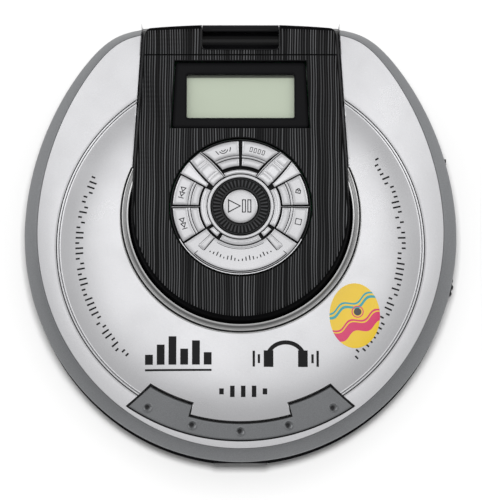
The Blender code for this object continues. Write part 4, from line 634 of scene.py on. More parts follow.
def make_front_plate():
    """Front plate: a ring segment with a narrower middle; its height falls to its edges in a
    small bevel and dips in five round dimples."""
    hair = 0.04 * MM / PLATE_OUTER
    last = PLATE_END - 0.25 * MM / PLATE_OUTER
    step = PLATE_STEP + 0.25 * MM / PLATE_OUTER
    steps = [step - hair, step + hair]
    swing = np.unique(np.concatenate((np.linspace(-last, last, 420), steps, np.negative(steps))))
    ease = np.array((0.0, 0.12, 0.3, 0.56)) * MM
    ends = ease / PLATE_OUTER
    swing = np.unique(np.concatenate((swing, ends - last, last - ends)))[:, None]
    inner = np.where(np.abs(swing) < step, PLATE_INNER, PLATE_SHOULDER) + 0.3 * MM
    span = PLATE_OUTER - inner
    share = np.concatenate((ease / (10.0 * MM), np.linspace(0.05, 0.95, 34), 1.0 - ease[::-1] / (10.0 * MM)))
    radius = inner + share * span
    border = np.minimum(np.minimum(radius - inner, PLATE_OUTER - radius), (last - np.abs(swing)) * radius)
    top = 25.02 * MM - 0.062 * (radius - PLATE_SHOULDER)
    height = top - 0.45 * MM * (1.0 - np.clip(border / ease[-1], 0.0, 1.0)) ** 2
    for angle in np.radians((-29.1, -14.6, 0.0, 14.6, 29.1)):
        away = np.hypot(radius - 63.3 * MM, (plate_turn(swing, radius) - angle) * radius)
        bowl = np.clip(1.0 - (away / (1.22 * MM)) ** 2, 0.0, 1.0)
        lip = np.exp(-((away - 1.4 * MM) / (0.16 * MM)) ** 2)
        # each dimple sinks deeper on one side, so the painted shade set by height falls on that side
        lean = ((plate_turn(swing, radius) - angle) * radius - radius + 63.3 * MM) / (1.73 * MM)
        height = height - 0.52 * MM * np.sqrt(bowl) * (1.0 + 0.55 * lean)
        height = height + 0.1 * MM * lip * (1.0 - 0.6 * np.clip(lean, -1, 1))
    turn = np.pi + plate_turn(swing, radius)
    grid = np.concatenate((direction(turn, radius), height[..., None]), axis=-1)
    grid = np.pad(grid, ((1, 1), (1, 1), (0, 0)), mode="edge")
    low = 24.2 * MM
    for side in (grid[0], grid[-1], grid[:, 0], grid[:, -1]):
        side[..., 2] = low
    # painted shade: below 24.08 mm, in the dimples and at the plate's low outer edge, the colour turns near black
    paint = grey_paint("Front plate paint and dimple shade", 0.9, 0.36, (24.08 * MM, 24.34 * MM))
    piece("front_plate_skin", wrap(grid), paint, "lid", ["front_plate"], 50.0)
    shade = moulded_black("Seam shade", 0.6, 0.1, 1500.0, 0.3)
    swing = np.linspace(-PLATE_END - 0.004, PLATE_END + 0.004, 160)[:, None]
    inner = np.where(np.abs(swing) < PLATE_STEP - 0.003, PLATE_INNER, PLATE_SHOULDER) - 0.25 * MM
    radius = inner + np.linspace(0.0, 1.0, 12) * (PLATE_OUTER + 0.25 * MM - inner)
    spot = direction(np.pi + plate_turn(swing, radius), radius)
    bed = np.concatenate((spot, np.full_like(spot[..., :1], POCKET_SHADE)), axis=-1)
    turn = lid_turns()
    held = np.maximum(panel_reach(turn, 0.1 * MM), SEAM)
    lines = []
    for middle in (-0.42 * MM, 0.42 * MM):
        edges = [direction(turn, held + middle + side * 0.1 * MM) for side in (-1.0, 1.0)]
        line = np.stack(edges, axis=1)
        lines.append(np.concatenate((line, np.full_like(line[..., :1], OUTER_TOP - 0.28 * MM)), axis=-1))
    return piece("lid_seam_shade", wrap(bed, *lines), shade, "lid", (), 50.0, False)


def make_collar():
    """Bright collar: a section of beads and coves carried round the panel's end. Its height
    is measured from the dome under it."""
    section = np.array((
        (37.3, -2.4), (37.3, 0.9), (37.42, 1.2), (37.65, 1.32), (37.95, 1.24), (38.12, 1.0), (38.25, 0.75),
        (38.6, 0.5), (39.0, 0.36), (39.22, 0.42), (39.36, 0.52), (39.55, 0.5), (39.72, 0.3), (39.8, 0.1),
        (39.86, -0.1), (40.03, -0.12), (40.14, 0.04), (40.24, 0.2), (40.4, 0.25), (40.56, 0.18), (40.64, -0.3),
        (40.3, -1.2), (39.5, -2.4),
    )) * MM
    start = 0.43
    turn = np.linspace(start, -np.pi - start, 420)[:, None]
    x = section[:, 0] * np.cos(turn)
    y = PANEL_Y + section[:, 0] * np.sin(turn)
    base = dome(np.hypot(x - DISC[0], y - DISC[1]))
    grid = np.stack((x, y, base + section[:, 1]), axis=-1)
    ring = (closed_ends(grid), False, True)
    # painted highlights on the collar's beads and painted shade in its coves and grooves
    ring_light_and_shade = ((37.3, 0.02), (37.55, 0.1), (37.7, 0.62), (38.05, 0.6), (38.25, 0.16), (39.0, 0.3), (39.2, 0.62),
             (39.55, 0.62), (39.72, 0.02), (40.14, 0.02), (40.24, 0.6), (40.6, 0.6))
    finish = plated("Collar plating with painted light", 0.34, (0.0, PANEL_Y), [(place * MM, tone) for place, tone in ring_light_and_shade])
    return piece("bright_collar", [ring], finish, "lid", ["collar_ring"], 60.0)


# The black control panel

def rib_edges():
    """Borders of the ribs: uneven pitches, from fixed random numbers."""
    noise = np.random.default_rng(7)
    pitch = sizes().rib_pitch * (1.0 + 0.16 * (noise.random(120) * 2.0 - 1.0))
    edges = np.cumsum(pitch)
    return edges - edges[-1] / 2, 0.55 + 0.45 * noise.random(120), noise.random(120) * 2.0 * np.pi


RIB_TOP = PANEL_TOP + 0.3 * MM


def rib_height(x, y):
    """Ribs along the panel: each is a flattened arch between two borders, of its own height,
    and its borders sway a little along it."""
    edges, high, phase = rib_edges()
    sway = 0.11 * MM * np.sin(y / (4.0 * MM) + 2.1 * np.sin(x / (5.0 * MM)))
    place = x + sway
    rib = np.clip(np.searchsorted(edges, place) - 1, 0, len(edges) - 2)
    share = (place - edges[rib]) / (edges[rib + 1] - edges[rib])
    arch = np.clip(4.0 * share * (1.0 - share), 0.0, 1.0) ** 2.4
    level = high[rib] * (0.93 + 0.07 * np.sin(y / (11.0 * MM) + phase[rib]))
    return RIB_TOP - sizes().rib_depth * (1.0 - arch * level)


def ribbed(x, y):
    """A ribbed patch with its rim turned down to the panel below."""
    grid = np.stack((x, y, rib_height(x, y)), axis=-1)
    grid = np.pad(grid, ((1, 1), (1, 1), (0, 0)), mode="edge")
    for side in (grid[0], grid[-1], grid[:, 0], grid[:, -1]):
        side[..., 2] = PANEL_TOP - 0.05 * MM
    return grid


RIB_INSET = 1.6 * MM
BEZEL = {"front": 36.5 * MM, "rear": 59.4 * MM, "wide": 23.0 * MM, "narrow": 21.9 * MM}
RECESS_HALF = 12.95 * MM
RECESS_FRONT = 63.7 * MM


def bezel_half(y, clear=0.0):
    share = (y - BEZEL["front"]) / (BEZEL["rear"] - BEZEL["front"])
    return BEZEL["wide"] + (BEZEL["narrow"] - BEZEL["wide"]) * share + clear


def between(low, high, count):
    """Columns of a patch from a low to a high border, closer together at both."""
    share = (1.0 - np.cos(np.linspace(0.0, np.pi, count))) / 2.0
    return low[:, None] + (high - low)[:, None] * share


def make_ribs():
    """Ribbed top of the panel: patches whose borders are the panel's edge, the circle round
    the wheel, the display's surround, the cross groove and the hinge recess."""
    radius = PANEL_RADIUS - RIB_INSET
    circle = WHEEL_EDGE + 0.62 * MM
    step = 0.086 * MM
    span = np.unique(np.concatenate((np.arange(-radius, radius, step), (-circle, circle, radius))))
    hollow = np.sqrt(np.clip(circle ** 2 - span ** 2, 0.0, None))
    front = PANEL_Y - np.sqrt(np.clip(radius ** 2 - span ** 2, 0.0, None))
    low_patch = between(front, WHEEL[1] - hollow, 26)
    patches = [ribbed(np.broadcast_to(span[:, None], low_patch.shape), low_patch)]

    def drawn_in(y, span, inner):
        outer = panel_half(y, RIB_INSET)
        beyond = (np.abs(span)[:, None] - inner) / (radius - inner)
        moved = np.sign(span)[:, None] * (inner + beyond * (outer - inner))
        return np.where(np.abs(span)[:, None] > inner, moved, span[:, None])

    clear = 0.5 * MM
    line = BEZEL["front"] - clear
    middle = between(WHEEL[1] + hollow, np.full(len(span), line), 26)
    patches.append(ribbed(drawn_in(middle, span, circle + 0.3 * MM), middle))
    beside = np.linspace(line, BEZEL["rear"] + clear, 15)
    share = np.linspace(0.0, 1.0, 150)[:, None]
    inner = bezel_half(beside, clear + 0.1 * MM)
    outer = panel_half(beside, RIB_INSET)
    y = np.broadcast_to(beside, (150, 15))
    across = inner + share * (outer - inner)
    patches.append(ribbed(across, y))
    patches.append(ribbed(-across[::-1], y))
    groove = 61.7 * MM
    for low, high in ((BEZEL["rear"] + clear, groove - 0.26 * MM), (groove + 0.26 * MM, None)):
        if high is None:
            half = panel_half(66.0 * MM, RIB_INSET)
            side = RECESS_HALF + 0.15 * MM
            span = np.arange(-half, half, step)
            span = np.unique(np.concatenate((span, (-side, side, 0.08 * MM - side, side - 0.08 * MM, half))))
            rear = PANEL_REAR - RIB_INSET - 0.9 * MM * (span / (32.0 * MM)) ** 2
            near_corner = np.clip((np.abs(span) - half + 1.2 * MM) / (1.2 * MM), 0.0, 1.0)
            rear = rear - 1.1 * MM * (1.0 - np.sqrt(1.0 - near_corner ** 2))
            corner = np.clip((np.abs(span) - side + 1.3 * MM) / (1.3 * MM), 0.0, 1.0)
            lip = RECESS_FRONT - 0.3 * MM + 1.3 * MM * (1.0 - np.sqrt(1.0 - corner ** 2))
            top = np.where(np.abs(span) < side - 0.04 * MM, lip, rear)
        else:
            half = panel_half(low, RIB_INSET)
            span = np.arange(-half, half, step)
            top = np.full(len(span), high)
        y = between(np.full(len(span), low), top, 9)
        edge = panel_half(y, RIB_INSET)
        patches.append(ribbed(span[:, None] * edge / half, y))
    # painted highlight on the rib tops and painted shade in the valleys between them
    crest_light_band = (RIB_TOP - 0.2 * MM, RIB_TOP - 0.02 * MM)
    finish = moulded_black("Ribbed black and crest light", 0.42, 0.1, 1300.0, 1.0, crest_light_band, shine=0.06)
    return piece("ribbed_panel_top", wrap(*patches), finish, "lid", (), 70.0, False)


def panel_path(inset, count=360):
    """Plan curve round the panel: its round front, straight sides and bowed rear with round
    corners, at an inset; sharp joins are avoided by closely spaced points."""
    lean = PANEL_LEAN
    front = np.linspace(-np.pi - lean, lean, count)
    radius = PANEL_RADIUS - inset
    x = radius * np.cos(front)
    y = PANEL_Y + radius * np.sin(front)
    half = PANEL_REAR_HALF - inset
    corner = 2.2 * MM
    turn = np.linspace(lean, np.pi / 2, 16)
    rear = PANEL_REAR - inset
    right_x = half - corner + corner * np.cos(turn)
    right_y = rear - 0.9 * MM - corner + corner * np.sin(turn)
    notch = (RECESS_HALF + 0.1 * MM) / (half - corner)
    outer = np.linspace(1.0, notch, 16)[1:]
    share = np.concatenate((outer, np.linspace(notch, -notch, 14)[1:-1], -outer[::-1]))
    bow_x = share * (half - corner)
    bow_y = rear - 0.9 * MM * share ** 2
    side = np.linspace(0.0, 1.0, 40)[1:-1]
    side_x = x[-1] + side * (right_x[0] - x[-1])
    side_y = y[-1] + side * (right_y[0] - y[-1])
    xs = np.concatenate((x, side_x, right_x, bow_x, -right_x[::-1], -side_x[::-1]))
    ys = np.concatenate((y, side_y, right_y, bow_y, right_y[::-1], side_y[::-1]))
    return np.stack((xs, ys), axis=-1)


def make_panel_edge():
    """Polished edge of the panel: a rounded section carried round its plan curve. Behind,
    the section leans out to the foot of the hinge block."""
    section = (
        (2.3, PANEL_TOP + 0.02 * MM), (1.7, PANEL_TOP + 0.03 * MM), (1.35, PANEL_TOP), (1.1, PANEL_TOP - 0.2 * MM),
        (0.92, PANEL_TOP - 0.5 * MM), (0.78, PANEL_TOP - 1.0 * MM), (0.6, 29.6 * MM), (0.3, 28.2 * MM),
        (0.02, 26.5 * MM), (-0.04, 25.4 * MM), (-0.04, 24.0 * MM), (-0.04, 22.0 * MM), (-0.04, 19.2 * MM),
        (-0.02, 18.7 * MM), (0.1, RIM_LOW),
    )
    rings = []
    for inset, height in section:
        path = panel_path(inset * MM)
        behind = soft_step(path[:, 1], 69.5 * MM, 71.5 * MM)
        path[:, 1] += behind * 0.85 * MM * max(0.0, inset) * (inset < 1.3)
        lean = np.interp(height, (19.2 * MM, 26.5 * MM), (2.6 * MM, 0.0))
        path = path + np.stack((np.zeros(len(path)), behind * lean), axis=-1)
        floor = np.where(path[:, 1] > 61.9 * MM, RIM_LOW, 23.6 * MM)
        rings.append(np.column_stack((path, np.maximum(floor, height))))
    grid = np.stack(rings, axis=1)
    centre = (np.abs(grid[..., 0]) < RECESS_HALF + 0.08 * MM) & (grid[..., 1] > 60.0 * MM)
    strips = grid[~centre.any(axis=1)]
    turn = int(np.argmax(np.abs(np.diff(strips[:, 0, 0]))) + 1)
    ordered = np.concatenate((strips[turn:], strips[:turn]))
    finish = gloss_black("Panel edge gloss", 0.3, 0.3, 0.02)
    return piece("polished_panel_edge", wrap(ordered), finish, "lid", (), 60.0, False)


def make_recess():
    """Rim of the hinge recess: a small bead carried along its two sides and round front."""
    half = RECESS_HALF
    corner = 1.3 * MM
    turn = np.linspace(0.0, np.pi / 2, 12)
    right_x = np.concatenate(([half, half], half - corner + corner * np.cos(turn), [0.0]))
    right_y = np.concatenate(([71.0 * MM, 67.5 * MM], RECESS_FRONT + corner - corner * np.sin(turn), [RECESS_FRONT]))
    x = np.concatenate((right_x, -right_x[-2::-1]))
    y = np.concatenate((right_y, right_y[-2::-1]))
    path = np.stack((x, y), axis=-1)
    along = np.gradient(path, axis=0)
    side = np.stack((along[:, 1], -along[:, 0]), axis=-1)
    side /= np.linalg.norm(side, axis=1, keepdims=True)
    section = np.array(((0.36, -0.1), (0.33, 0.18), (0.2, 0.32), (0.02, 0.22), (-0.02, 0.0), (-0.02, -2.0),
                        (0.3, -2.0))) * MM
    rings = []
    for out, up in section:
        spot = path - side * out
        lower = np.full(len(path), PANEL_TOP + up)
        rings.append(np.column_stack((spot, lower)))
    grid = closed_ends(np.stack(rings, axis=1))
    finish = gloss_black("Recess gloss", 0.6, 0.12)
    return piece("recess_rim", [(grid, False, True)], finish, "lid", (), 50.0)


def rounded_frame(inset, corner, height, count=14):
    """Plan curve of the display's surround with round corners, at a height."""
    front = BEZEL["front"] + inset
    rear = BEZEL["rear"] - inset
    spots = []
    for side, y, start in ((1, front, -np.pi / 2), (1, rear, 0.0), (-1, rear, np.pi / 2), (-1, front, np.pi)):
        turn = np.linspace(start, start + np.pi / 2, count)
        into = 1.0 if y == front else -1.0
        centre_x = side * (bezel_half(y) - inset - corner)
        spots.append(np.stack((centre_x + corner * np.cos(turn), y + into * corner + corner * np.sin(turn)), axis=-1))
    path = np.concatenate(spots)
    return np.column_stack((path, np.full(len(path), height)))


GLASS = ((-18.0 * MM, 40.1 * MM), (18.0 * MM, 55.2 * MM))


def window_frame(clear, corner, height, count=14):
    """Plan curve round the display's window with round corners, at a height."""
    (left, front), (right, rear) = GLASS
    spots = []
    for x, y, start in ((right, front, -np.pi / 2), (right, rear, 0.0), (left, rear, np.pi / 2), (left, front, np.pi)):
        turn = np.linspace(start, start + np.pi / 2, count)
        centre_x = x + np.sign(x) * (clear - corner)
        centre_y = y + (corner - clear if y == front else clear - corner)
        spots.append(np.stack((centre_x + corner * np.cos(turn), centre_y + corner * np.sin(turn)), axis=-1))
    path = np.concatenate(spots)
    return np.column_stack((path, np.full(len(path), height)))


def make_display():
    """The display: a polished surround whose section runs from its outer edge over a rounded
    lip to the window's mouth, the clear window and the liquid crystal panel below."""
    top = 30.4 * MM
    rings = (
        rounded_frame(0.0, 1.3 * MM, 29.1 * MM), rounded_frame(0.0, 1.3 * MM, top - 0.3 * MM),
        rounded_frame(0.08 * MM, 1.25 * MM, top - 0.1 * MM), rounded_frame(0.3 * MM, 1.1 * MM, top),
        rounded_frame(1.5 * MM, 0.8 * MM, top + 0.04 * MM),
        window_frame(1.0 * MM, 0.9 * MM, top), window_frame(0.45 * MM, 0.8 * MM, top - 0.04 * MM),
        window_frame(0.12 * MM, 0.7 * MM, top - 0.16 * MM), window_frame(0.04 * MM, 0.65 * MM, top - 0.5 * MM),
        window_frame(0.04 * MM, 0.65 * MM, 29.12 * MM),
    )
    frame_grid = np.stack(rings, axis=0)
    gloss = gloss_black("Display surround gloss", 0.6, 0.16, 0.045)
    piece("display_surround", [(frame_grid[::-1], True, True)], gloss, "lid", ["display_bezel"], 50.0)

    glass = Finish("Display window")
    smear = glass.noise(90.0, 4.0, 0.6)
    clear = glass.add("ShaderNodeBsdfTransparent", {}, {"Color": (0.98, 0.99, 0.98, 1.0)})
    shine = glass.add("ShaderNodeBsdfPrincipled", {}, {
        "Base Color": glass.blend(smear, (0.02, 0.02, 0.02), (0.04, 0.04, 0.04)),
        "Roughness": glass.spread(smear, 0.3, 0.7, 0.03, 0.1)})
    edge = glass.add("ShaderNodeLayerWeight", {}, {"Blend": 0.5}, 1) ** 4.0 * 0.5 + 0.015
    both = glass.add("ShaderNodeMixShader", {}, {0: edge, 1: clear, 2: shine})
    glass.add("ShaderNodeOutputMaterial", {}, {"Surface": both})
    low, high = 29.35 * MM, 29.95 * MM
    loops = [window_frame(-0.3 * MM, 0.4 * MM, low), window_frame(-0.06 * MM, 0.6 * MM, low),
             window_frame(-0.06 * MM, 0.6 * MM, high), window_frame(-0.3 * MM, 0.4 * MM, high)]
    grid = closed_ends(np.stack(loops, axis=0))
    piece("clear_window", [(grid, False, True)], glass.material, "lid", ["display_window"], 30.0)

    screen = Finish("Liquid crystal")
    dots = screen.add("ShaderNodeTexChecker", {}, {"Vector": screen.place(), "Scale": 2600.0}, 1)
    drift = screen.noise(26.0, 2.0)
    base = colours().display
    shade = screen.blend(screen.spread(drift, 0.35, 0.65, 0.0, 1.0), tint(base, 0.95), tint(base, 1.04))
    shade = screen.blend(dots * 0.05, shade, tint(base, 0.6))
    # painted shadow: a dark band along the rear edge of the screen, where the surround's wall shades it
    far = screen.add("ShaderNodeSeparateXYZ", {}, {0: screen.place()}, 1)
    shade = screen.blend(screen.spread(far, 54.15 * MM, 54.5 * MM, 0.0, 1.0), shade, tint(base, 0.2))
    # painted light: the switched-off screen glows faintly
    finish = screen.done(base_color=shade, roughness=0.5, emission_color=shade, emission_strength=0.05)
    high = 28.8 * MM
    loops = [window_frame(0.9 * MM, 0.3 * MM, 26.5 * MM), window_frame(0.9 * MM, 0.3 * MM, high - 0.05 * MM),
             window_frame(0.85 * MM, 0.3 * MM, high)]
    grid = closed_ends(np.stack(loops, axis=0))
    piece("display_screen", [(grid, False, True)], finish, "lid", ["display_module"], 30.0)


# The key wheel

def polar(turn, radius, height):
    """Points about the wheel's axis."""
    x = WHEEL[0] + radius * np.cos(turn)
    y = WHEEL[1] + radius * np.sin(turn)
    return np.stack((x, y, np.broadcast_to(height, x.shape)), axis=-1)


def pad(near, far, starts, ends, low, high, bevel=None, crown=0.0):
    """A raised pad between two radii and two angles in degrees; an angle may differ at the
    two radii. Its height rises over a bevel from its border to a slightly crowned top."""
    bevel = sizes().key_bevel if bevel is None else bevel
    starts = np.radians(np.broadcast_to(starts, 2))
    ends = np.radians(np.broadcast_to(ends, 2))
    middle = (near + far) / 2
    across = max(2, int(math.ceil((ends - starts).max() * middle / (0.9 * MM))))

    def samples(length, count):
        rim = np.array((0.0, 0.0, 0.35, 1.0)) * min(bevel, length / 2.2) / length
        inside = np.linspace(rim[-1], 1.0 - rim[-1], count + 1)[1:-1]
        return np.concatenate((rim, inside, 1.0 - rim[::-1]))

    u = samples((ends - starts).min() * middle, across)
    v = samples(far - near, max(2, int((far - near) / (1.2 * MM))))
    rise = np.array((0.0, 0.0, 0.62, 1.0))

    def slope(count):
        level = np.ones(count)
        level[:4] = rise
        level[-4:] = rise[::-1]
        return level

    radius = (near + v * (far - near))[None, :]
    first = starts[0] + (starts[1] - starts[0]) * v
    last = ends[0] + (ends[1] - ends[0]) * v
    turn = first + u[:, None] * (last - first)
    level = np.minimum(slope(len(u))[:, None], slope(len(v))[None, :])
    height = high - bevel * 0.75 * (1.0 - level)
    height = height + crown * (1.0 - (2.0 * u[:, None] - 1.0) ** 2) * (1.0 - (2.0 * v - 1.0) ** 2)
    height[[0, -1], :] = low
    height[:, [0, -1]] = low
    return polar(turn, np.broadcast_to(radius, turn.shape), height)[::-1]


def ring_of(section, count=240, start=0.0, end=360.0):
    """A section of (radius, height) carried round the wheel's axis."""
    section = np.asarray(section)
    closed = end - start >= 360.0
    turn = np.radians(np.linspace(start, end, count, endpoint=not closed))[:, None]
    grid = polar(turn, np.broadcast_to(section[:, 0], (count, len(section))), section[:, 1])
    return (grid[::-1], closed, False) if closed else (closed_ends(grid[::-1]), False, False)


KEY_BASE = 28.25 * MM
LEDGE = KEY_TOP - 0.75 * MM


def key_with_step(name, start, end, starts=None, ends=None, finish=None):
    """A key: its body, an outer pad for its sign, a thin arc ridge and an inner pad."""
    near, far = 13.75 * MM, 22.75 * MM
    lean_start = starts or (start, start)
    lean_end = ends or (end, end)

    def at(radius, lean):
        return lean[0] + (lean[1] - lean[0]) * (radius - near) / (far - near)

    grids = [pad(near, far, lean_start, lean_end, KEY_BASE, LEDGE, 0.2 * MM)]
    hair = 0.5
    for low, high, level in ((17.65, 22.55, 0.0), (16.8, 17.5, -0.02), (13.95, 16.65, -0.14)):
        r0, r1 = low * MM, high * MM
        pad_starts = (at(r0, lean_start) + hair, at(r1, lean_start) + hair)
        pad_ends = (at(r0, lean_end) - hair, at(r1, lean_end) - hair)
        bevel = 0.26 * MM if high - low < 1.0 else None
        grids.append(pad(r0, r1, pad_starts, pad_ends, LEDGE - 0.3 * MM, KEY_TOP + level * MM, bevel))
    return piece(name + "_skin", wrap(*grids), finish, name, [name], 35.0, False)


def make_keys():
    """The seven keys round the wheel."""
    # painted shade: below the key tops, on the ledges and key sides, the colour turns near black
    finish = silver_paint("Key paint and groove shade", 0.34, 0.7, 0.98, (KEY_TOP - 0.42 * MM, KEY_TOP - 0.3 * MM))
    key_with_step("upper_left_key", 91.0, 116.0, (91.2, 91.2), (116.0, 125.0), finish)
    key_with_step("upper_right_key", 64.0, 89.0, (64.0, 55.0), (88.8, 88.8), finish)
    key_with_step("previous_key", 151.0, 178.9, finish=finish)
    key_with_step("next_key", 181.1, 213.0, finish=finish)
    key_with_step("lock_key", 1.1, 29.0, finish=finish)
    key_with_step("stop_key", -33.0, -1.1, finish=finish)
    top = KEY_TOP
    lower = [pad(13.75 * MM, 22.75 * MM, -145.6, -34.4, KEY_BASE, top, 0.34 * MM),
             pad(13.7 * MM, 14.4 * MM, -121.0, -59.0, top - 0.4 * MM, top + 0.1 * MM, 0.24 * MM)]
    for side in (-1.0, 1.0):
        angle = -90.0 + side * 42.3
        lower.append(pad(14.0 * MM, 19.3 * MM, angle - 3.3, angle + 3.3, top - 0.4 * MM, top + 0.16 * MM, 0.2 * MM))
    piece("lower_key_skin", wrap(*lower), finish, "lower_key", ["lower_key"], 35.0, False)


def make_wheel_frame():
    """Silver wheel frame: its plate, rim, bright bevel, broken inner arcs, webs between the
    keys and the two ornamental fields."""
    # painted shade: the frame's floor and lower walls turn near black below its top
    finish = silver_paint("Wheel paint and hollow shade", 0.3, 0.75, 1.03, (KEY_TOP - 0.62 * MM, KEY_TOP - 0.5 * MM))
    top = KEY_TOP - 0.3 * MM
    floor = 30.2 * MM
    plate = ring_of(((10.05 * MM, 28.6 * MM), (10.05 * MM, floor), (22.95 * MM, floor), (23.0 * MM, floor + 0.3 * MM),
                     (23.1 * MM, floor + 0.5 * MM), (23.4 * MM, floor + 0.5 * MM), (23.48 * MM, 28.6 * MM)), 360)
    crescent = ring_of(((22.98 * MM, floor), (23.0 * MM, top - 0.15 * MM), (23.1 * MM, top), (23.34 * MM, top),
                        (23.44 * MM, top - 0.15 * MM), (23.46 * MM, floor)), 160, -151.0, -29.0)
    bevel = ring_of(((10.0 * MM, floor), (10.0 * MM, top - 0.3 * MM), (10.1 * MM, top - 0.08 * MM), (10.3 * MM, top),
                     (10.85 * MM, top + 0.02 * MM), (11.05 * MM, top - 0.08 * MM), (11.15 * MM, top - 0.4 * MM),
                     (11.15 * MM, floor)), 240)
    grids = [plate, crescent, bevel]
    blocks = []
    for start, end, near, far in ((64.0, 116.0, 11.4, 12.75), (151.0, 212.0, 11.35, 13.35),
                                  (-32.0, 29.0, 11.35, 13.35), (-121.5, -58.5, 11.35, 13.3)):
        blocks.append(pad(near * MM, far * MM, start, end, floor, top, 0.3 * MM))
    for start, end in ((151.0, 212.0), (-32.0, 29.0)):
        blocks.append(pad(12.1 * MM, 13.3 * MM, start + 1.0, end - 1.0, top - 0.3 * MM, top + 0.12 * MM, 0.2 * MM))
    blocks.append(pad(12.0 * MM, 12.7 * MM, -121.0, -59.0, top - 0.3 * MM, top + 0.1 * MM, 0.2 * MM))
    for angle in (180.35, -0.35):
        half = math.degrees(0.07 / 18.0)
        blocks.append(pad(13.4 * MM, 23.0 * MM, angle - half, angle + half, floor, top - 0.05 * MM, 0.05 * MM))
    for mirror in (1.0, -1.0):
        def turned(start, end):
            pairs = [[90.0 + mirror * (angle - 90.0) for angle in np.broadcast_to(side, 2)] for side in (start, end)]
            return pairs if mirror > 0 else pairs[::-1]
        strip = turned((118.5, 126.5), (142.4, 137.0))
        blocks.append(pad(11.5 * MM, 23.0 * MM, *strip, floor, top - 0.05 * MM, 0.35 * MM))
        blocks.append(pad(11.6 * MM, 14.0 * MM, *turned((119.4, 121.0), (141.0, 141.6)), top - 0.3 * MM,
                          top + 0.1 * MM, 0.3 * MM))
        blocks.append(pad(14.4 * MM, 18.3 * MM, *turned((123.0, 125.4), (140.6, 137.6)), top - 0.3 * MM,
                          top + 0.06 * MM, 0.2 * MM))
        blocks.append(pad(18.55 * MM, 19.4 * MM, *turned((125.6, 126.0), (137.6, 137.2)), top - 0.3 * MM,
                          top + 0.1 * MM, 0.2 * MM))
        blocks.append(pad(19.65 * MM, 22.9 * MM, *turned((126.2, 127.9), (137.0, 135.8)), top - 0.3 * MM,
                          top + 0.06 * MM, 0.25 * MM))
        blocks.append(pad(11.5 * MM, 23.0 * MM, *turned((117.0, 125.4), (118.2, 126.2)), floor, top + 0.08 * MM,
                          0.12 * MM))
        blocks.append(pad(13.2 * MM, 23.0 * MM, *turned((144.2, 138.2), (149.6, 150.2)), floor, top + 0.02 * MM,
                          0.25 * MM))
        block = [-90.0 + mirror * angle for angle in (37.0, 52.5)]
        blocks.append(pad(11.4 * MM, 12.9 * MM, min(block), max(block), floor, top + 0.1 * MM, 0.25 * MM))
    grids += [(block, False, False) for block in blocks]
    piece("wheel_frame_skin", grids, finish, "lid", ["wheel_frame"], 35.0, False)
    # painted shade: a dark sheet over the wheel's floor between the keys
    dark = ring_of(((11.16 * MM, floor + 0.06 * MM), (17.0 * MM, floor + 0.05 * MM),
                    (22.94 * MM, floor + 0.06 * MM)), 240)
    gap = moulded_black("Wheel floor painted shade", 0.6, 0.15, 1500.0, 0.4)
    return piece("wheel_floor_shade", [dark], gap, "lid", (), 35.0, False)


def arc_line(radius, start, end, width, height):
    """A ribbon along an arc about the wheel's axis."""
    turn = np.radians(np.linspace(start, end, max(3, int(abs(end - start) / 2.0))))
    path = WHEEL + radius * MM * np.stack((np.cos(turn), np.sin(turn)), axis=-1)
    return stroke(path, width * MM, height)


def spoke_line(start, end, width, height):
    """A ribbon between two points given by angle and radius about the wheel's axis."""
    ends = np.stack((key_spot(*start), key_spot(*end)))
    share = np.linspace(0.0, 1.0, 4)[:, None]
    return stroke(ends[0] + share * (ends[1] - ends[0]), width * MM, height)


def make_grooves():
    """Painted shade of the wheel's fine groove lines: arcs and spokes drawn as narrow dark ribbons on the surfaces."""
    # the ink here is painted shade standing in for the shadows of fine grooves
    ink = printed_ink("Groove shade", (0.02, 0.02, 0.022), 0.6)
    top = KEY_TOP + 0.012 * MM
    lines = [arc_line(22.35, -133.0, -47.0, 0.34, top), arc_line(14.75, -122.0, -58.0, 0.16, top)]
    for side in (-1.0, 1.0):
        angle = -90.0 + side * 43.4
        lines.append(spoke_line((angle, 22.4), (angle - side * 0.6, 20.9), 0.24, top))
        inner = -90.0 + side * 38.2
        lines.append(spoke_line((inner, 13.9), (inner + side * 0.5, 19.4), 0.34, top))
        outer = -90.0 + side * 46.3
        lines.append(spoke_line((outer, 13.9), (outer, 19.2), 0.14, top))
        lines.append(arc_line(19.5, -90.0 + side * 39.0, -90.0 + side * 46.0, 0.16, top))
    return piece("lower_key_groove_shade", lines, ink, "lower_key", (), 60.0, False)


def make_knurls():
    """Black ring round the play key: radial ridges that rise and fall with the angle between
    a smooth inner and outer lip."""
    count = sizes().knurls
    turn = np.radians(np.linspace(0.0, 360.0, count * 16, endpoint=False))[:, None]
    radius = np.array((6.05, 6.05, 6.15, 6.5, 6.72, 6.8, 7.0, 7.8, 8.7, 9.1, 9.22, 9.32, 9.5, 9.68, 9.76, 9.78)) * MM
    height = np.array((-2.6, -0.45, -0.34, -0.32, -0.34, -0.5, -0.5, -0.5, -0.5, -0.5, -0.48, -0.36, -0.3, -0.34,
                       -0.6, -2.6)) * MM
    ridge = soft_step(np.cos(count * turn), -0.35, 0.35)
    held = soft_step(radius, 6.72 * MM, 6.84 * MM) * (1.0 - soft_step(radius, 9.1 * MM, 9.24 * MM))
    grid = polar(turn, np.broadcast_to(radius, (len(turn), len(radius))),
                 KEY_TOP + height + 0.36 * MM * ridge * held)
    # painted highlight on the knurl ridges' tops and painted shade between them
    crest_light_band = (KEY_TOP - 0.42 * MM, KEY_TOP - 0.2 * MM)
    finish = moulded_black("Knurl black and crest light", 0.4, 0.1, 1500.0, 1.2, crest_light_band, (0.05, 0.051, 0.054), 0.15)
    return piece("knurled_ring_skin", [(grid[::-1], True, False)], finish, "lid",
                 ["knurled_ring"], 40.0, False)


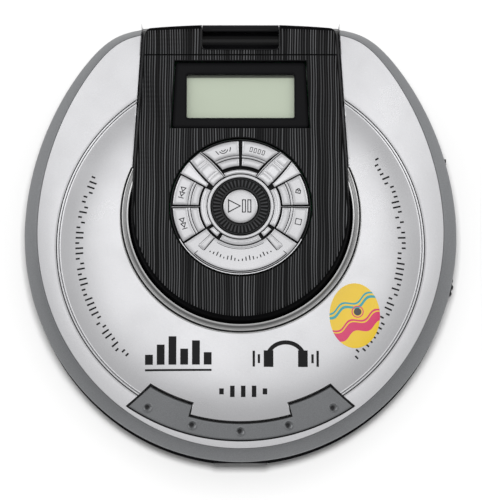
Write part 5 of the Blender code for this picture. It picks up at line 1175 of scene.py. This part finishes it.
def make_play_key():
    """Round play key: a shallow crowned top in a rounded lip."""
    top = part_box("play_key")[1].z - 0.05 * MM
    profile = [(0.01, top), (2.0, top - 0.015 * MM), (4.0, top - 0.06 * MM), (5.1, top - 0.12 * MM),
               (5.5, top - 0.2 * MM), (5.72, top - 0.42 * MM), (5.78, top - 0.8 * MM), (5.78, KEY_BASE),
               (0.01, KEY_BASE)]
    section = [(radius * MM if radius > 0.1 else 0.0, height) for radius, height in profile]
    grid = lathe(section, WHEEL, 120)
    finish = silver_paint("Play key paint", 0.33, 0.7, 0.98)
    return piece("play_key_skin", [(grid, True, False)], finish, "play_key", ["play_key"], 40.0)


# Signs: flat ink strokes

def stroke(points, width, height, closed=False):
    """A ribbon of even width along a line of points, mitred at its corners."""
    points = np.asarray(points, dtype=float)
    if closed:
        ahead = np.roll(points, -1, axis=0) - points
        behind = points - np.roll(points, 1, axis=0)
    else:
        ahead = np.diff(points, axis=0, append=points[-1:] * 2 - points[-2:-1])
        behind = np.diff(points, axis=0, prepend=points[:1] * 2 - points[1:2])
    ahead /= np.linalg.norm(ahead, axis=1, keepdims=True)
    behind /= np.linalg.norm(behind, axis=1, keepdims=True)
    along = ahead + behind
    along /= np.linalg.norm(along, axis=1, keepdims=True)
    normal = np.stack((-along[:, 1], along[:, 0]), axis=-1)
    stretch = 1.0 / np.clip((along * ahead).sum(axis=1, keepdims=True), 0.4, 1.0)
    sides = [points - normal * stretch * width / 2, points + normal * stretch * width / 2]
    grid = np.stack(sides, axis=1)
    lift = height(grid[..., 0], grid[..., 1]) if callable(height) else np.full(grid.shape[:2], height)
    return (np.concatenate((grid, lift[..., None]), axis=-1), closed, False)


def placed(points, centre, turn=0.0, size=1.0):
    """Points in millimetres about a sign's middle, turned in degrees and set in place."""
    points = np.asarray(points, dtype=float) * MM * size
    angle = math.radians(turn)
    spin = np.array(((math.cos(angle), math.sin(angle)), (-math.sin(angle), math.cos(angle))))
    return points @ spin + np.asarray(centre)


def round_points(radius, start=0.0, end=360.0, count=25, centre=(0.0, 0.0)):
    angle = np.radians(np.linspace(start, end, count, endpoint=end - start < 360.0))
    return np.stack((centre[0] + radius * np.cos(angle), centre[1] + radius * np.sin(angle)), axis=-1)


def key_spot(angle, radius=20.0):
    turn = math.radians(angle)
    return WHEEL + radius * MM * np.array((math.cos(turn), math.sin(turn)))


TRIANGLE = ((-0.75, 0.9), (0.85, 0.0), (-0.75, -0.9))
SQUARE = ((-0.95, -0.95), (0.95, -0.95), (0.95, 0.95), (-0.95, 0.95))


def make_signs():
    """Generic pictograms on the keys: each is a set of dark ribbons just above its key."""
    ink = printed_ink("Key sign ink", (0.025, 0.025, 0.028), 0.5)
    thin = 0.3 * MM
    above = KEY_TOP + 0.015 * MM

    def sign(name, body, lines):
        ribbons = [stroke(points, width, above, closed) for points, closed, width in lines]
        return piece(name, ribbons, ink, body, (), 60.0, False)

    spot = key_spot(165.3)
    lines = []
    for shift in (-0.95, 0.75):
        lines.append((placed(np.array(TRIANGLE) * (-0.85, 0.9) + (shift, 0.0), spot, 75.0), True, thin))
    lines.append((placed(((-2.2, -0.95), (-2.2, 0.95)), spot, 75.0), False, thin))
    sign("previous_sign", "previous_key", lines)
    spot = key_spot(196.3)
    lines = []
    for shift in (-0.75, 0.95):
        lines.append((placed(np.array(TRIANGLE) * (0.85, 0.9) + (shift, 0.0), spot, -73.0), True, thin))
    lines.append((placed(((2.2, -0.95), (2.2, 0.95)), spot, -73.0), False, thin))
    sign("next_sign", "next_key", lines)
    spot = key_spot(15.2)
    lines = [(placed(((-0.75, -0.75), (0.75, -0.75), (0.75, 0.25), (-0.75, 0.25)), spot, -12.0), True, thin),
             (placed(round_points(0.5, 0.0, 180.0, 9, (0.0, 0.3)), spot, -12.0), False, thin),
             (placed(((0.0, -0.1), (0.0, -0.45)), spot, -12.0), False, thin)]
    sign("lock_sign", "lock_key", lines)
    spot = key_spot(-15.5)
    sign("stop_sign", "stop_key", [(placed(SQUARE, spot, -12.0), True, 0.26 * MM)])
    spot = key_spot(106.5, 19.8)
    lines = [(placed(round_points(radius, 200.0, 340.0, 13, (0.0, 0.75)), spot, 16.0), False, thin)
             for radius in (0.75, 1.5)]
    lines.append((placed(((-2.6, 0.7), (-1.9, -0.7)), spot, 16.0), False, thin))
    lines.append((placed(((2.6, 0.7), (1.9, -0.7)), spot, 16.0), False, thin))
    sign("steady_sign", "upper_left_key", lines)
    spot = key_spot(73.5, 19.8)
    lines = []
    for shift in (-2.1, -0.7, 0.7, 2.1):
        lines.append((placed(((shift - 0.36, -0.75), (shift + 0.36, -0.75), (shift + 0.36, 0.75), (shift - 0.36, 0.75)),
                             spot, -16.0), True, 0.2 * MM))
    sign("programme_sign", "upper_right_key", lines)
    lines = []
    rise = (0.5, 0.9, 1.5, 1.1, 0.6, 1.3, 1.7, 1.0, 0.5, 0.8, 1.4, 1.7, 1.2, 0.6, 1.0, 1.5, 0.9, 0.5)
    for place, tall in zip(np.linspace(-33.0, 33.0, len(rise)), rise):
        centre = key_spot(-90.0 + place, 18.0)
        lines.append((placed(((0.0, -0.85), (0.0, -0.85 + tall)), centre, place), False, 0.36 * MM))
    sign("tone_sign", "lower_key", lines)
    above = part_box("play_key")[1].z - 0.03 * MM
    lines = [(placed(((-3.9, 2.1), (0.0, 0.0), (-3.9, -2.1)), WHEEL + (-0.1 * MM, 0.0)), True, 0.34 * MM)]
    for shift in (1.15, 2.95):
        box = ((shift - 0.5, -2.1), (shift + 0.5, -2.1), (shift + 0.5, 2.1), (shift - 0.5, 2.1))
        lines.append((placed(box, WHEEL), True, 0.32 * MM))
    sign("play_sign", "play_key", lines)


def lid_spot(angle, radius):
    """A place on the dome, by its angle from the front, anticlockwise, and its distance."""
    turn = math.radians(angle)
    return DISC + radius * MM * np.array((math.sin(turn), -math.cos(turn)))


def print_height(x, y):
    return dome(np.hypot(x - DISC[0], y - DISC[1])) + 0.04 * MM


def make_prints():
    """Plain printed marks on the dome: two scales of ticks along the seam and two pictograms."""
    ink = printed_ink("Black lid ink", (0.012, 0.012, 0.013), 0.38)
    ribbons = []
    pattern = np.random.default_rng(3)
    for side, last in ((-1.0, 116.0), (1.0, 123.0)):
        for angle in np.arange(45.0, last, 1.9):
            kind = pattern.random()
            near = 52.6 + 1.3 * (kind > 0.65)
            far = 55.2 - 1.3 * (kind < 0.25)
            ends = np.stack((lid_spot(side * angle, near), lid_spot(side * angle, far)))
            share = np.linspace(0.0, 1.0, 5)[:, None]
            ribbons.append(stroke(ends[0] + share * (ends[1] - ends[0]), 0.58 * MM, print_height))
    centre = np.array((-20.8, -40.6)) * MM
    for index, tall in enumerate((3.4, 6.8, 9.6, 5.4, 8.2, 4.2)):
        x = -9.6 + 3.9 * index
        line = placed(((x, -3.4), (x, -3.4 + tall / 2), (x, -3.4 + tall)), centre)
        ribbons.append(stroke(line, 2.6 * MM, print_height))
    line = placed([(x, -5.2) for x in np.linspace(-10.9, 11.2, 30)], centre)
    ribbons.append(stroke(line, 0.7 * MM, print_height))
    centre = np.array((15.0, -40.4)) * MM
    line = placed(round_points(4.1, 20.0, 160.0, 17, (0.0, -1.2)) * (1.5, 1.35), centre)
    ribbons.append(stroke(line, 1.4 * MM, print_height))
    for x in (-5.7, 5.7):
        line = placed(((x, 1.2), (x, -1.6), (x, -4.4)), centre)
        ribbons.append(stroke(line, 3.2 * MM, print_height))
    for x in (-8.9, 8.9):
        for shift, tall in ((0.0, 1.5), (math.copysign(1.7, x), 2.7)):
            line = placed(((x + shift, -1.6 - tall), (x + shift, -1.6), (x + shift, -1.6 + tall)), centre)
            ribbons.append(stroke(line, 0.8 * MM, print_height))
    for x in (-7.2, -3.6, 0.0, 3.6, 7.2):
        tall = 1.0 + 0.9 * (abs(x) < 4.0)
        dot = placed(((x, -53.0 - tall), (x, -53.0), (x, -53.0 + tall)), (0.9 * MM, 0.0))
        ribbons.append(stroke(dot, 1.5 * MM, print_height))
    return piece("lid_prints", ribbons, ink, "lid", (), 60.0, False)


def make_sticker():
    """Sticker on the dome: an oval of film whose colours are bands and rings in its own
    plane, worked out in the material."""
    centre = np.array((38.0, -27.3)) * MM
    turn = np.linspace(0.0, 2.0 * np.pi, 96, endpoint=False)[:, None]
    share = np.array((0.0, 0.25, 0.5, 0.75, 0.96, 1.0, 1.0))
    x = centre[0] + 8.4 * MM * share * np.cos(turn)
    y = centre[1] + 11.0 * MM * share * np.sin(turn)
    lift = np.array((0.06, 0.06, 0.06, 0.06, 0.06, 0.05, 0.0)) * MM
    film = Finish("Sticker film")
    local = film.add("ShaderNodeMapping", {"vector_type": "TEXTURE"}, {
        "Vector": film.place(), "Location": (*centre, 0.0), "Rotation": (0.0, 0.0, math.radians(24.0))})
    across, along = (film.add("ShaderNodeSeparateXYZ", {}, {0: local}, axis) for axis in (0, 1))

    def band(value, low, high):
        return film.spread(value, low - 0.00006, low, 0.0, 1.0) * film.spread(value, high, high + 0.00006, 1.0, 0.0)

    yellow, magenta, teal = (0.93, 0.62, 0.01), (0.72, 0.012, 0.13), (0.01, 0.36, 0.42)
    colour = film.blend(film.noise(200.0, 3.0), tint(yellow, 0.95), tint(yellow, 1.04))
    wave = along + film.add("ShaderNodeMath", {"operation": "SINE"}, {0: across * 700.0}) * 0.0009
    for low, high, shade in ((-5.6, -2.6, magenta), (-2.1, -1.5, magenta), (2.6, 3.5, teal), (4.2, 4.8, teal)):
        colour = film.blend(band(wave, low * MM, high * MM), colour, shade)
    far = ((across - 0.0014) ** 2.0 + (along - 0.0008) ** 2.0) ** 0.5
    colour = film.blend(band(far, 0.0, 1.25 * MM), colour, (0.02, 0.02, 0.02))
    colour = film.blend(band(far, 1.7 * MM, 2.0 * MM), colour, magenta)
    paint = film.done(base_color=colour, roughness=film.spread(film.noise(90.0, 3.0), 0.3, 0.7, 0.22, 0.34),
                      coat_weight=0.5, coat_roughness=0.12)
    grid = np.stack((x, y, dome(np.hypot(x - DISC[0], y - DISC[1])) + lift), axis=-1)
    return piece("round_sticker", [(grid, True, False)], paint, "lid", (), 60.0, False)


# The base and the works

def make_hinge_leaf():
    """Polished hinge leaf: its cross-section, a low trough that rises at the back to a bar
    with a rounded lip, runs straight across between rounded ends."""
    section = np.array((
        (64.15, 27.4), (64.2, 28.1), (64.4, 28.2), (64.8, 27.75), (65.4, 27.2), (66.1, 26.84), (66.9, 26.66),
        (67.8, 26.58), (68.7, 26.64), (69.4, 26.86), (69.9, 27.3), (70.2, 27.9), (70.25, 28.8), (70.2, 29.6),
        (70.05, 30.1), (70.05, 30.5), (70.2, 30.82), (70.45, 30.96), (70.75, 30.98), (71.1, 30.88), (72.3, 30.3),
        (72.5, 30.1),
        (72.5, 28.0), (72.5, 24.0), (72.5, 15.8), (68.4, 15.8), (68.2, 18.4), (66.4, 20.2), (65.0, 23.0),
    )) * MM
    middle = section.mean(axis=0)
    half = RECESS_HALF - 0.06 * MM
    rows = []
    for across, shrink in ((-half, 0.985), (-half + 0.12 * MM, 1.0), (-half / 2, 1.0), (0.0, 1.0), (half / 2, 1.0),
                           (half - 0.12 * MM, 1.0), (half, 0.985)):
        spot = middle + (section - middle) * shrink
        rows.append(np.column_stack((np.full(len(spot), across), spot)))
    grid = closed_ends(np.stack(rows))
    finish = gloss_black("Hinge leaf gloss", 0.5, 0.12, 0.14)
    return piece("hinge_leaf_skin", [(grid, False, True)], finish, "base", ["hinge_knuckle"], 50.0)


def make_case_lip():
    """Smooth lip of the lower case: a rounded upright section carried round the front on both
    sides of the slider; it draws in a little towards its ends."""
    patches = []
    for side in (-1.0, 1.0):
        start = math.asin(9.4 * MM / FRONT_LENGTH)
        turn = np.pi + side * np.linspace(start, math.radians(72.0), 150)
        ease = soft_step(np.abs(turn - np.pi), 0.5, 1.25)
        rings = []
        for inset, height in ((1.3, 12.5), (0.75, 12.55), (0.3, 12.75), (0.08, 13.1), (0.01, 13.6), (0.0, 14.5),
                              (0.0, 17.8), (0.06, 18.02), (0.6, 18.04)):
            spot = direction(turn, lid_reach(turn, inset * MM) - 0.3 * MM * ease)
            rings.append(np.column_stack((spot, np.full(len(turn), height * MM))))
        patches.append((closed_ends(np.stack(rings, axis=1)), False, True))
    finish = moulded_black("Lip black", 0.65, 0.12, 1700.0, 0.5, shine=0.0)
    return piece("case_front_lip", patches, finish, "base", (), 50.0)


def make_case():
    """Black lower case and deck: the CAD shapes with merged, smoothed and eased surfaces."""
    grain = moulded_black("Housing black", 0.42, 0.16, 1700.0, 1.25, shine=0.16)
    refined("bottom_case", grain, "base", 24.0)
    deck = moulded_black("Deck black", 0.5, 0.2, 1500.0, 1.5)
    refined("disc_deck", deck, "base", 24.0)
    refined("lid_liner", deck, "lid", 24.0)
    dress("control_panel", gloss_black("Panel black", 0.5, 0.3, 0.08))
    refined("battery_door", grain, "battery_door", 30.0, 0.12 * MM)
    slider = moulded_black("Slider black", 0.4, 0.1, 1500.0, 1.2, shine=0.1)
    refined("open_slider", slider, "open_slider", 30.0, 0.2 * MM)
    side = moulded_black("Side control black", 0.38, 0.14, 1600.0, 1.6)
    refined("volume_wheel", side, "volume_wheel", 25.0, 0.06 * MM)
    refined("hold_switch", side, "hold_switch", 30.0, 0.12 * MM)
    for name in ("headphone_jack", "line_jack", "power_jack"):
        refined(name, side, "base", 35.0)
    rubber = moulded_colour("Foot rubber", (0.018, 0.018, 0.018), 0.75, 0.2)
    for number in range(1, 5):
        refined(f"rubber_foot_{number}", rubber, "base", 35.0, 0.15 * MM)
    steel = bare_steel("Screw steel", 0.45)
    for number in range(1, 5):
        refined(f"case_screw_{number}", steel, "base", 35.0)


def dress(node, finish):
    """A CAD node keeps its shape and takes a finish."""
    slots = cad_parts[node].data.materials
    slots.clear()
    slots.append(finish)


def make_works():
    """The parts inside: CAD shapes, smoothed where they are round, each in its own finish."""
    steel = bare_steel("Works steel", 0.5)
    bright = bare_steel("Ground steel", 0.62, (12.0, 1.0, 12.0))
    for name in ("mechanism_chassis", "spindle_motor", "sled_motor", "battery_contact_left", "battery_contact_right"):
        refined(name, steel, "base", 35.0)
    for name in ("guide_rod_left", "guide_rod_right", "hinge_pin"):
        refined(name, bright, "base", 35.0)
    refined("spindle_shaft", bright, "turntable", 35.0)
    hub = moulded_black("Turntable black", 0.4, 0.12, 1500.0, 1.8)
    refined("turntable", hub, "turntable", 28.0)
    refined("pickup_sled", moulded_black("Pickup black", 0.5, 0.15, 1300.0, 2.2), "pickup_sled", 28.0)
    lens = Finish("Pickup lens")
    ring = lens.noise(160.0, 2.0)
    colour = lens.blend(ring, (0.05, 0.09, 0.2), (0.12, 0.16, 0.3))
    glass = lens.done(base_color=colour, roughness=0.04, coat_weight=0.8, coat_roughness=0.02,
                      normal=lens.bump(ring, 0.02, 0.00005))
    refined("pickup_lens", glass, "pickup_sled", 40.0)
    nylon = moulded_colour("White nylon", (0.72, 0.71, 0.66), 0.45)
    refined("sled_gear", nylon, "sled_gear", 30.0)
    refined("sled_pinion", nylon, "sled_pinion", 30.0)
    rubber = moulded_colour("Damper rubber", (0.03, 0.03, 0.032), 0.7, 0.2)
    for number in range(1, 5):
        refined(f"rubber_damper_{number}", rubber, "base", 35.0, 0.3 * MM)
    board = circuit_green("Circuit board")
    refined("main_board", board, "base", 35.0)
    refined("lid_board", board, "lid", 35.0)
    wrap_film = Finish("Cell wrap")
    split = wrap_film.add("ShaderNodeSeparateXYZ", {}, {0: wrap_film.place()})
    worn = wrap_film.noise(140.0, 4.0)
    end = wrap_film.spread(split, 0.0185, 0.0187, 0.0, 1.0)
    colour = wrap_film.blend(worn, (0.035, 0.05, 0.13), (0.05, 0.07, 0.17))
    colour = wrap_film.blend(end, colour, (0.5, 0.32, 0.1))
    cell = wrap_film.done(base_color=colour, roughness=0.3, metallic=end * 0.6, coat_weight=0.4, coat_roughness=0.1)
    refined("battery_cell_left", cell, "base", 35.0)
    refined("battery_cell_right", cell, "base", 35.0)


# Stage

def soft_light(name, place, aim, size, brightness):
    """A rectangular light whose power is its brightness times pi times its area."""
    data = bpy.data.lights.new(name, "AREA")
    data.shape = "RECTANGLE"
    data.size, data.size_y = size
    data.energy = brightness * math.pi * size[0] * size[1]
    lamp = bpy.data.objects.new(name, data)
    lamp.location = place
    lamp.rotation_euler = (Vector(aim) - Vector(place)).to_track_quat("-Z", "Y").to_euler()
    bpy.context.scene.collection.objects.link(lamp)
    return lamp


def make_stage():
    """Pale floor, soft lights and the camera at the photograph's angle."""
    stage = bpy.context.scene.player_stage
    half = 1.6
    corner = np.array(((-half, -half), (-half, half), (half, half), (half, -half)))
    share = np.linspace(0.0, 1.0, 3)
    x = (corner[0, 0] + share * 2 * half)[:, None] + np.zeros(3)
    y = (corner[0, 1] + share * 2 * half)[None, :] + np.zeros((3, 1))
    mesh = mesh_from("floor", wrap(np.stack((x, y, np.full_like(x, -0.0002)), axis=-1)))
    paper = Finish("Pale floor")
    tone = paper.noise(6.0, 2.0)
    shade = paper.blend(tone, (0.49, 0.49, 0.49), (0.51, 0.51, 0.51))
    mesh.materials.append(paper.done(base_color=shade, roughness=0.9, specular_ior_level=0.0,
                                     emission_color=(1.0, 1.0, 1.0, 1.0), emission_strength=0.0))
    floor = bpy.data.objects.new("floor", mesh)
    bpy.context.scene.collection.objects.link(floor)

    world = bpy.data.worlds.new("Studio")
    world.use_nodes = True
    back = world.node_tree.nodes["Background"]
    back.inputs["Color"].default_value = (1.0, 1.0, 1.0, 1.0)
    back.inputs["Strength"].default_value = stage.fill
    bpy.context.scene.world = world
    bpy.context.scene.view_settings.view_transform = "Standard"
    middle = (0.0, 0.0, 0.02)
    soft_light("Top softbox", (0.0, 0.29, 1.16), middle, (0.62, 0.5), stage.top)
    soft_light("Rear left panel", (-0.92, 0.6, 0.5), middle, (1.0, 0.8), stage.side)
    soft_light("Rear right panel", (0.92, 0.6, 0.5), middle, (1.0, 0.8), stage.side)

    lamp = soft_light("Floor light", (0.0, -0.17, 1.3), (0.0, 0.0, 0.0), (0.22, 0.22), stage.floor)
    lit = bpy.data.collections.new("Lit by the floor light")
    lit.objects.link(floor)
    lamp.light_linking.receiver_collection = lit

    data = bpy.data.cameras.new("Camera")
    camera = bpy.data.objects.new("Camera", data)
    bpy.context.scene.collection.objects.link(camera)
    away = 1.5
    tilt = stage.tilt
    aim = Vector((0.16 * MM, -2.5 * MM, 17.5 * MM))
    camera.location = aim + away * Vector((0.0, -math.sin(tilt), math.cos(tilt)))
    camera.rotation_euler = (tilt, 0.0, 0.0)
    data.sensor_fit = "VERTICAL"
    data.sensor_height = 24.0
    data.lens = 24.0 * away / (500 * 0.336 * MM)
    data.dof.use_dof = False
    bpy.context.scene.camera = camera
    return camera


# Add-on

class PlayerOperator(bpy.types.Operator):
    """One step of the player's making."""
    bl_idname = "player.step"
    bl_label = "Player step"
    bl_options = {"REGISTER", "UNDO"}
    makers = ()

    def execute(self, context):
        for maker in self.makers:
            maker()
        return {"FINISHED"}


class PLAYER_OT_lid(PlayerOperator):
    """Make the silver lid skin, its grey rim, front plate and bright collar"""
    bl_idname = "player.lid"
    bl_label = "Lid"
    makers = (make_lid_skin, make_lid_rim, make_front_plate, make_collar)


class PLAYER_OT_panel(PlayerOperator):
    """Make the black panel's ribs, its polished edge and the rim of its hinge recess"""
    bl_idname = "player.panel"
    bl_label = "Control panel"
    makers = (make_ribs, make_panel_edge, make_recess)


class PLAYER_OT_display(PlayerOperator):
    """Make the display's surround, window and screen"""
    bl_idname = "player.display"
    bl_label = "Display"
    makers = (make_display,)


class PLAYER_OT_wheel(PlayerOperator):
    """Make the wheel frame, the keys, the knurled ring and the play key"""
    bl_idname = "player.wheel"
    bl_label = "Key wheel"
    makers = (make_wheel_frame, make_keys, make_grooves, make_knurls, make_play_key)


class PLAYER_OT_marks(PlayerOperator):
    """Print the signs on the keys and lid and lay the sticker"""
    bl_idname = "player.marks"
    bl_label = "Signs and sticker"
    makers = (make_signs, make_prints, make_sticker)


class PLAYER_OT_base(PlayerOperator):
    """Finish the lower case, the deck, the hinge leaf and the side controls"""
    bl_idname = "player.base"
    bl_label = "Case"
    makers = (make_case, make_case_lip, make_hinge_leaf)


class PLAYER_OT_works(PlayerOperator):
    """Finish the disc drive, the boards and the cells inside"""
    bl_idname = "player.works"
    bl_label = "Works"
    makers = (make_works,)


class PLAYER_OT_stage(PlayerOperator):
    """Set up the floor, the lights and the camera"""
    bl_idname = "player.stage"
    bl_label = "Stage"
    makers = (make_stage,)


STEPS = (PLAYER_OT_lid, PLAYER_OT_panel, PLAYER_OT_display, PLAYER_OT_wheel, PLAYER_OT_marks, PLAYER_OT_base,
         PLAYER_OT_works, PLAYER_OT_stage)


class PLAYER_PT_sidebar(bpy.types.Panel):
    """Sizes, colours and steps of the disc player."""
    bl_idname = "PLAYER_PT_sidebar"
    bl_label = "Disc Player"
    bl_space_type = "VIEW_3D"
    bl_region_type = "UI"
    bl_category = "Disc Player"

    def draw(self, context):
        for group in (context.scene.player_sizes, context.scene.player_colours, context.scene.player_stage):
            box = self.layout.box()
            for name in group.__annotations__:
                box.prop(group, name)
        for step in STEPS:
            self.layout.operator(step.bl_idname)


CLASSES = (PlayerSizes, PlayerColours, StageSettings, *STEPS, PLAYER_PT_sidebar)


def register():
    for kind in CLASSES:
        bpy.utils.register_class(kind)
    bpy.types.Scene.player_sizes = PointerProperty(type=PlayerSizes)
    bpy.types.Scene.player_colours = PointerProperty(type=PlayerColours)
    bpy.types.Scene.player_stage = PointerProperty(type=StageSettings)


def unregister():
    del bpy.types.Scene.player_stage
    del bpy.types.Scene.player_colours
    del bpy.types.Scene.player_sizes
    for kind in reversed(CLASSES):
        bpy.utils.unregister_class(kind)


def main():
    register()
    for step in STEPS:
        family, action = step.bl_idname.split(".")
        getattr(getattr(bpy.ops, family), action)()


if __name__ == "__main__":
    main()
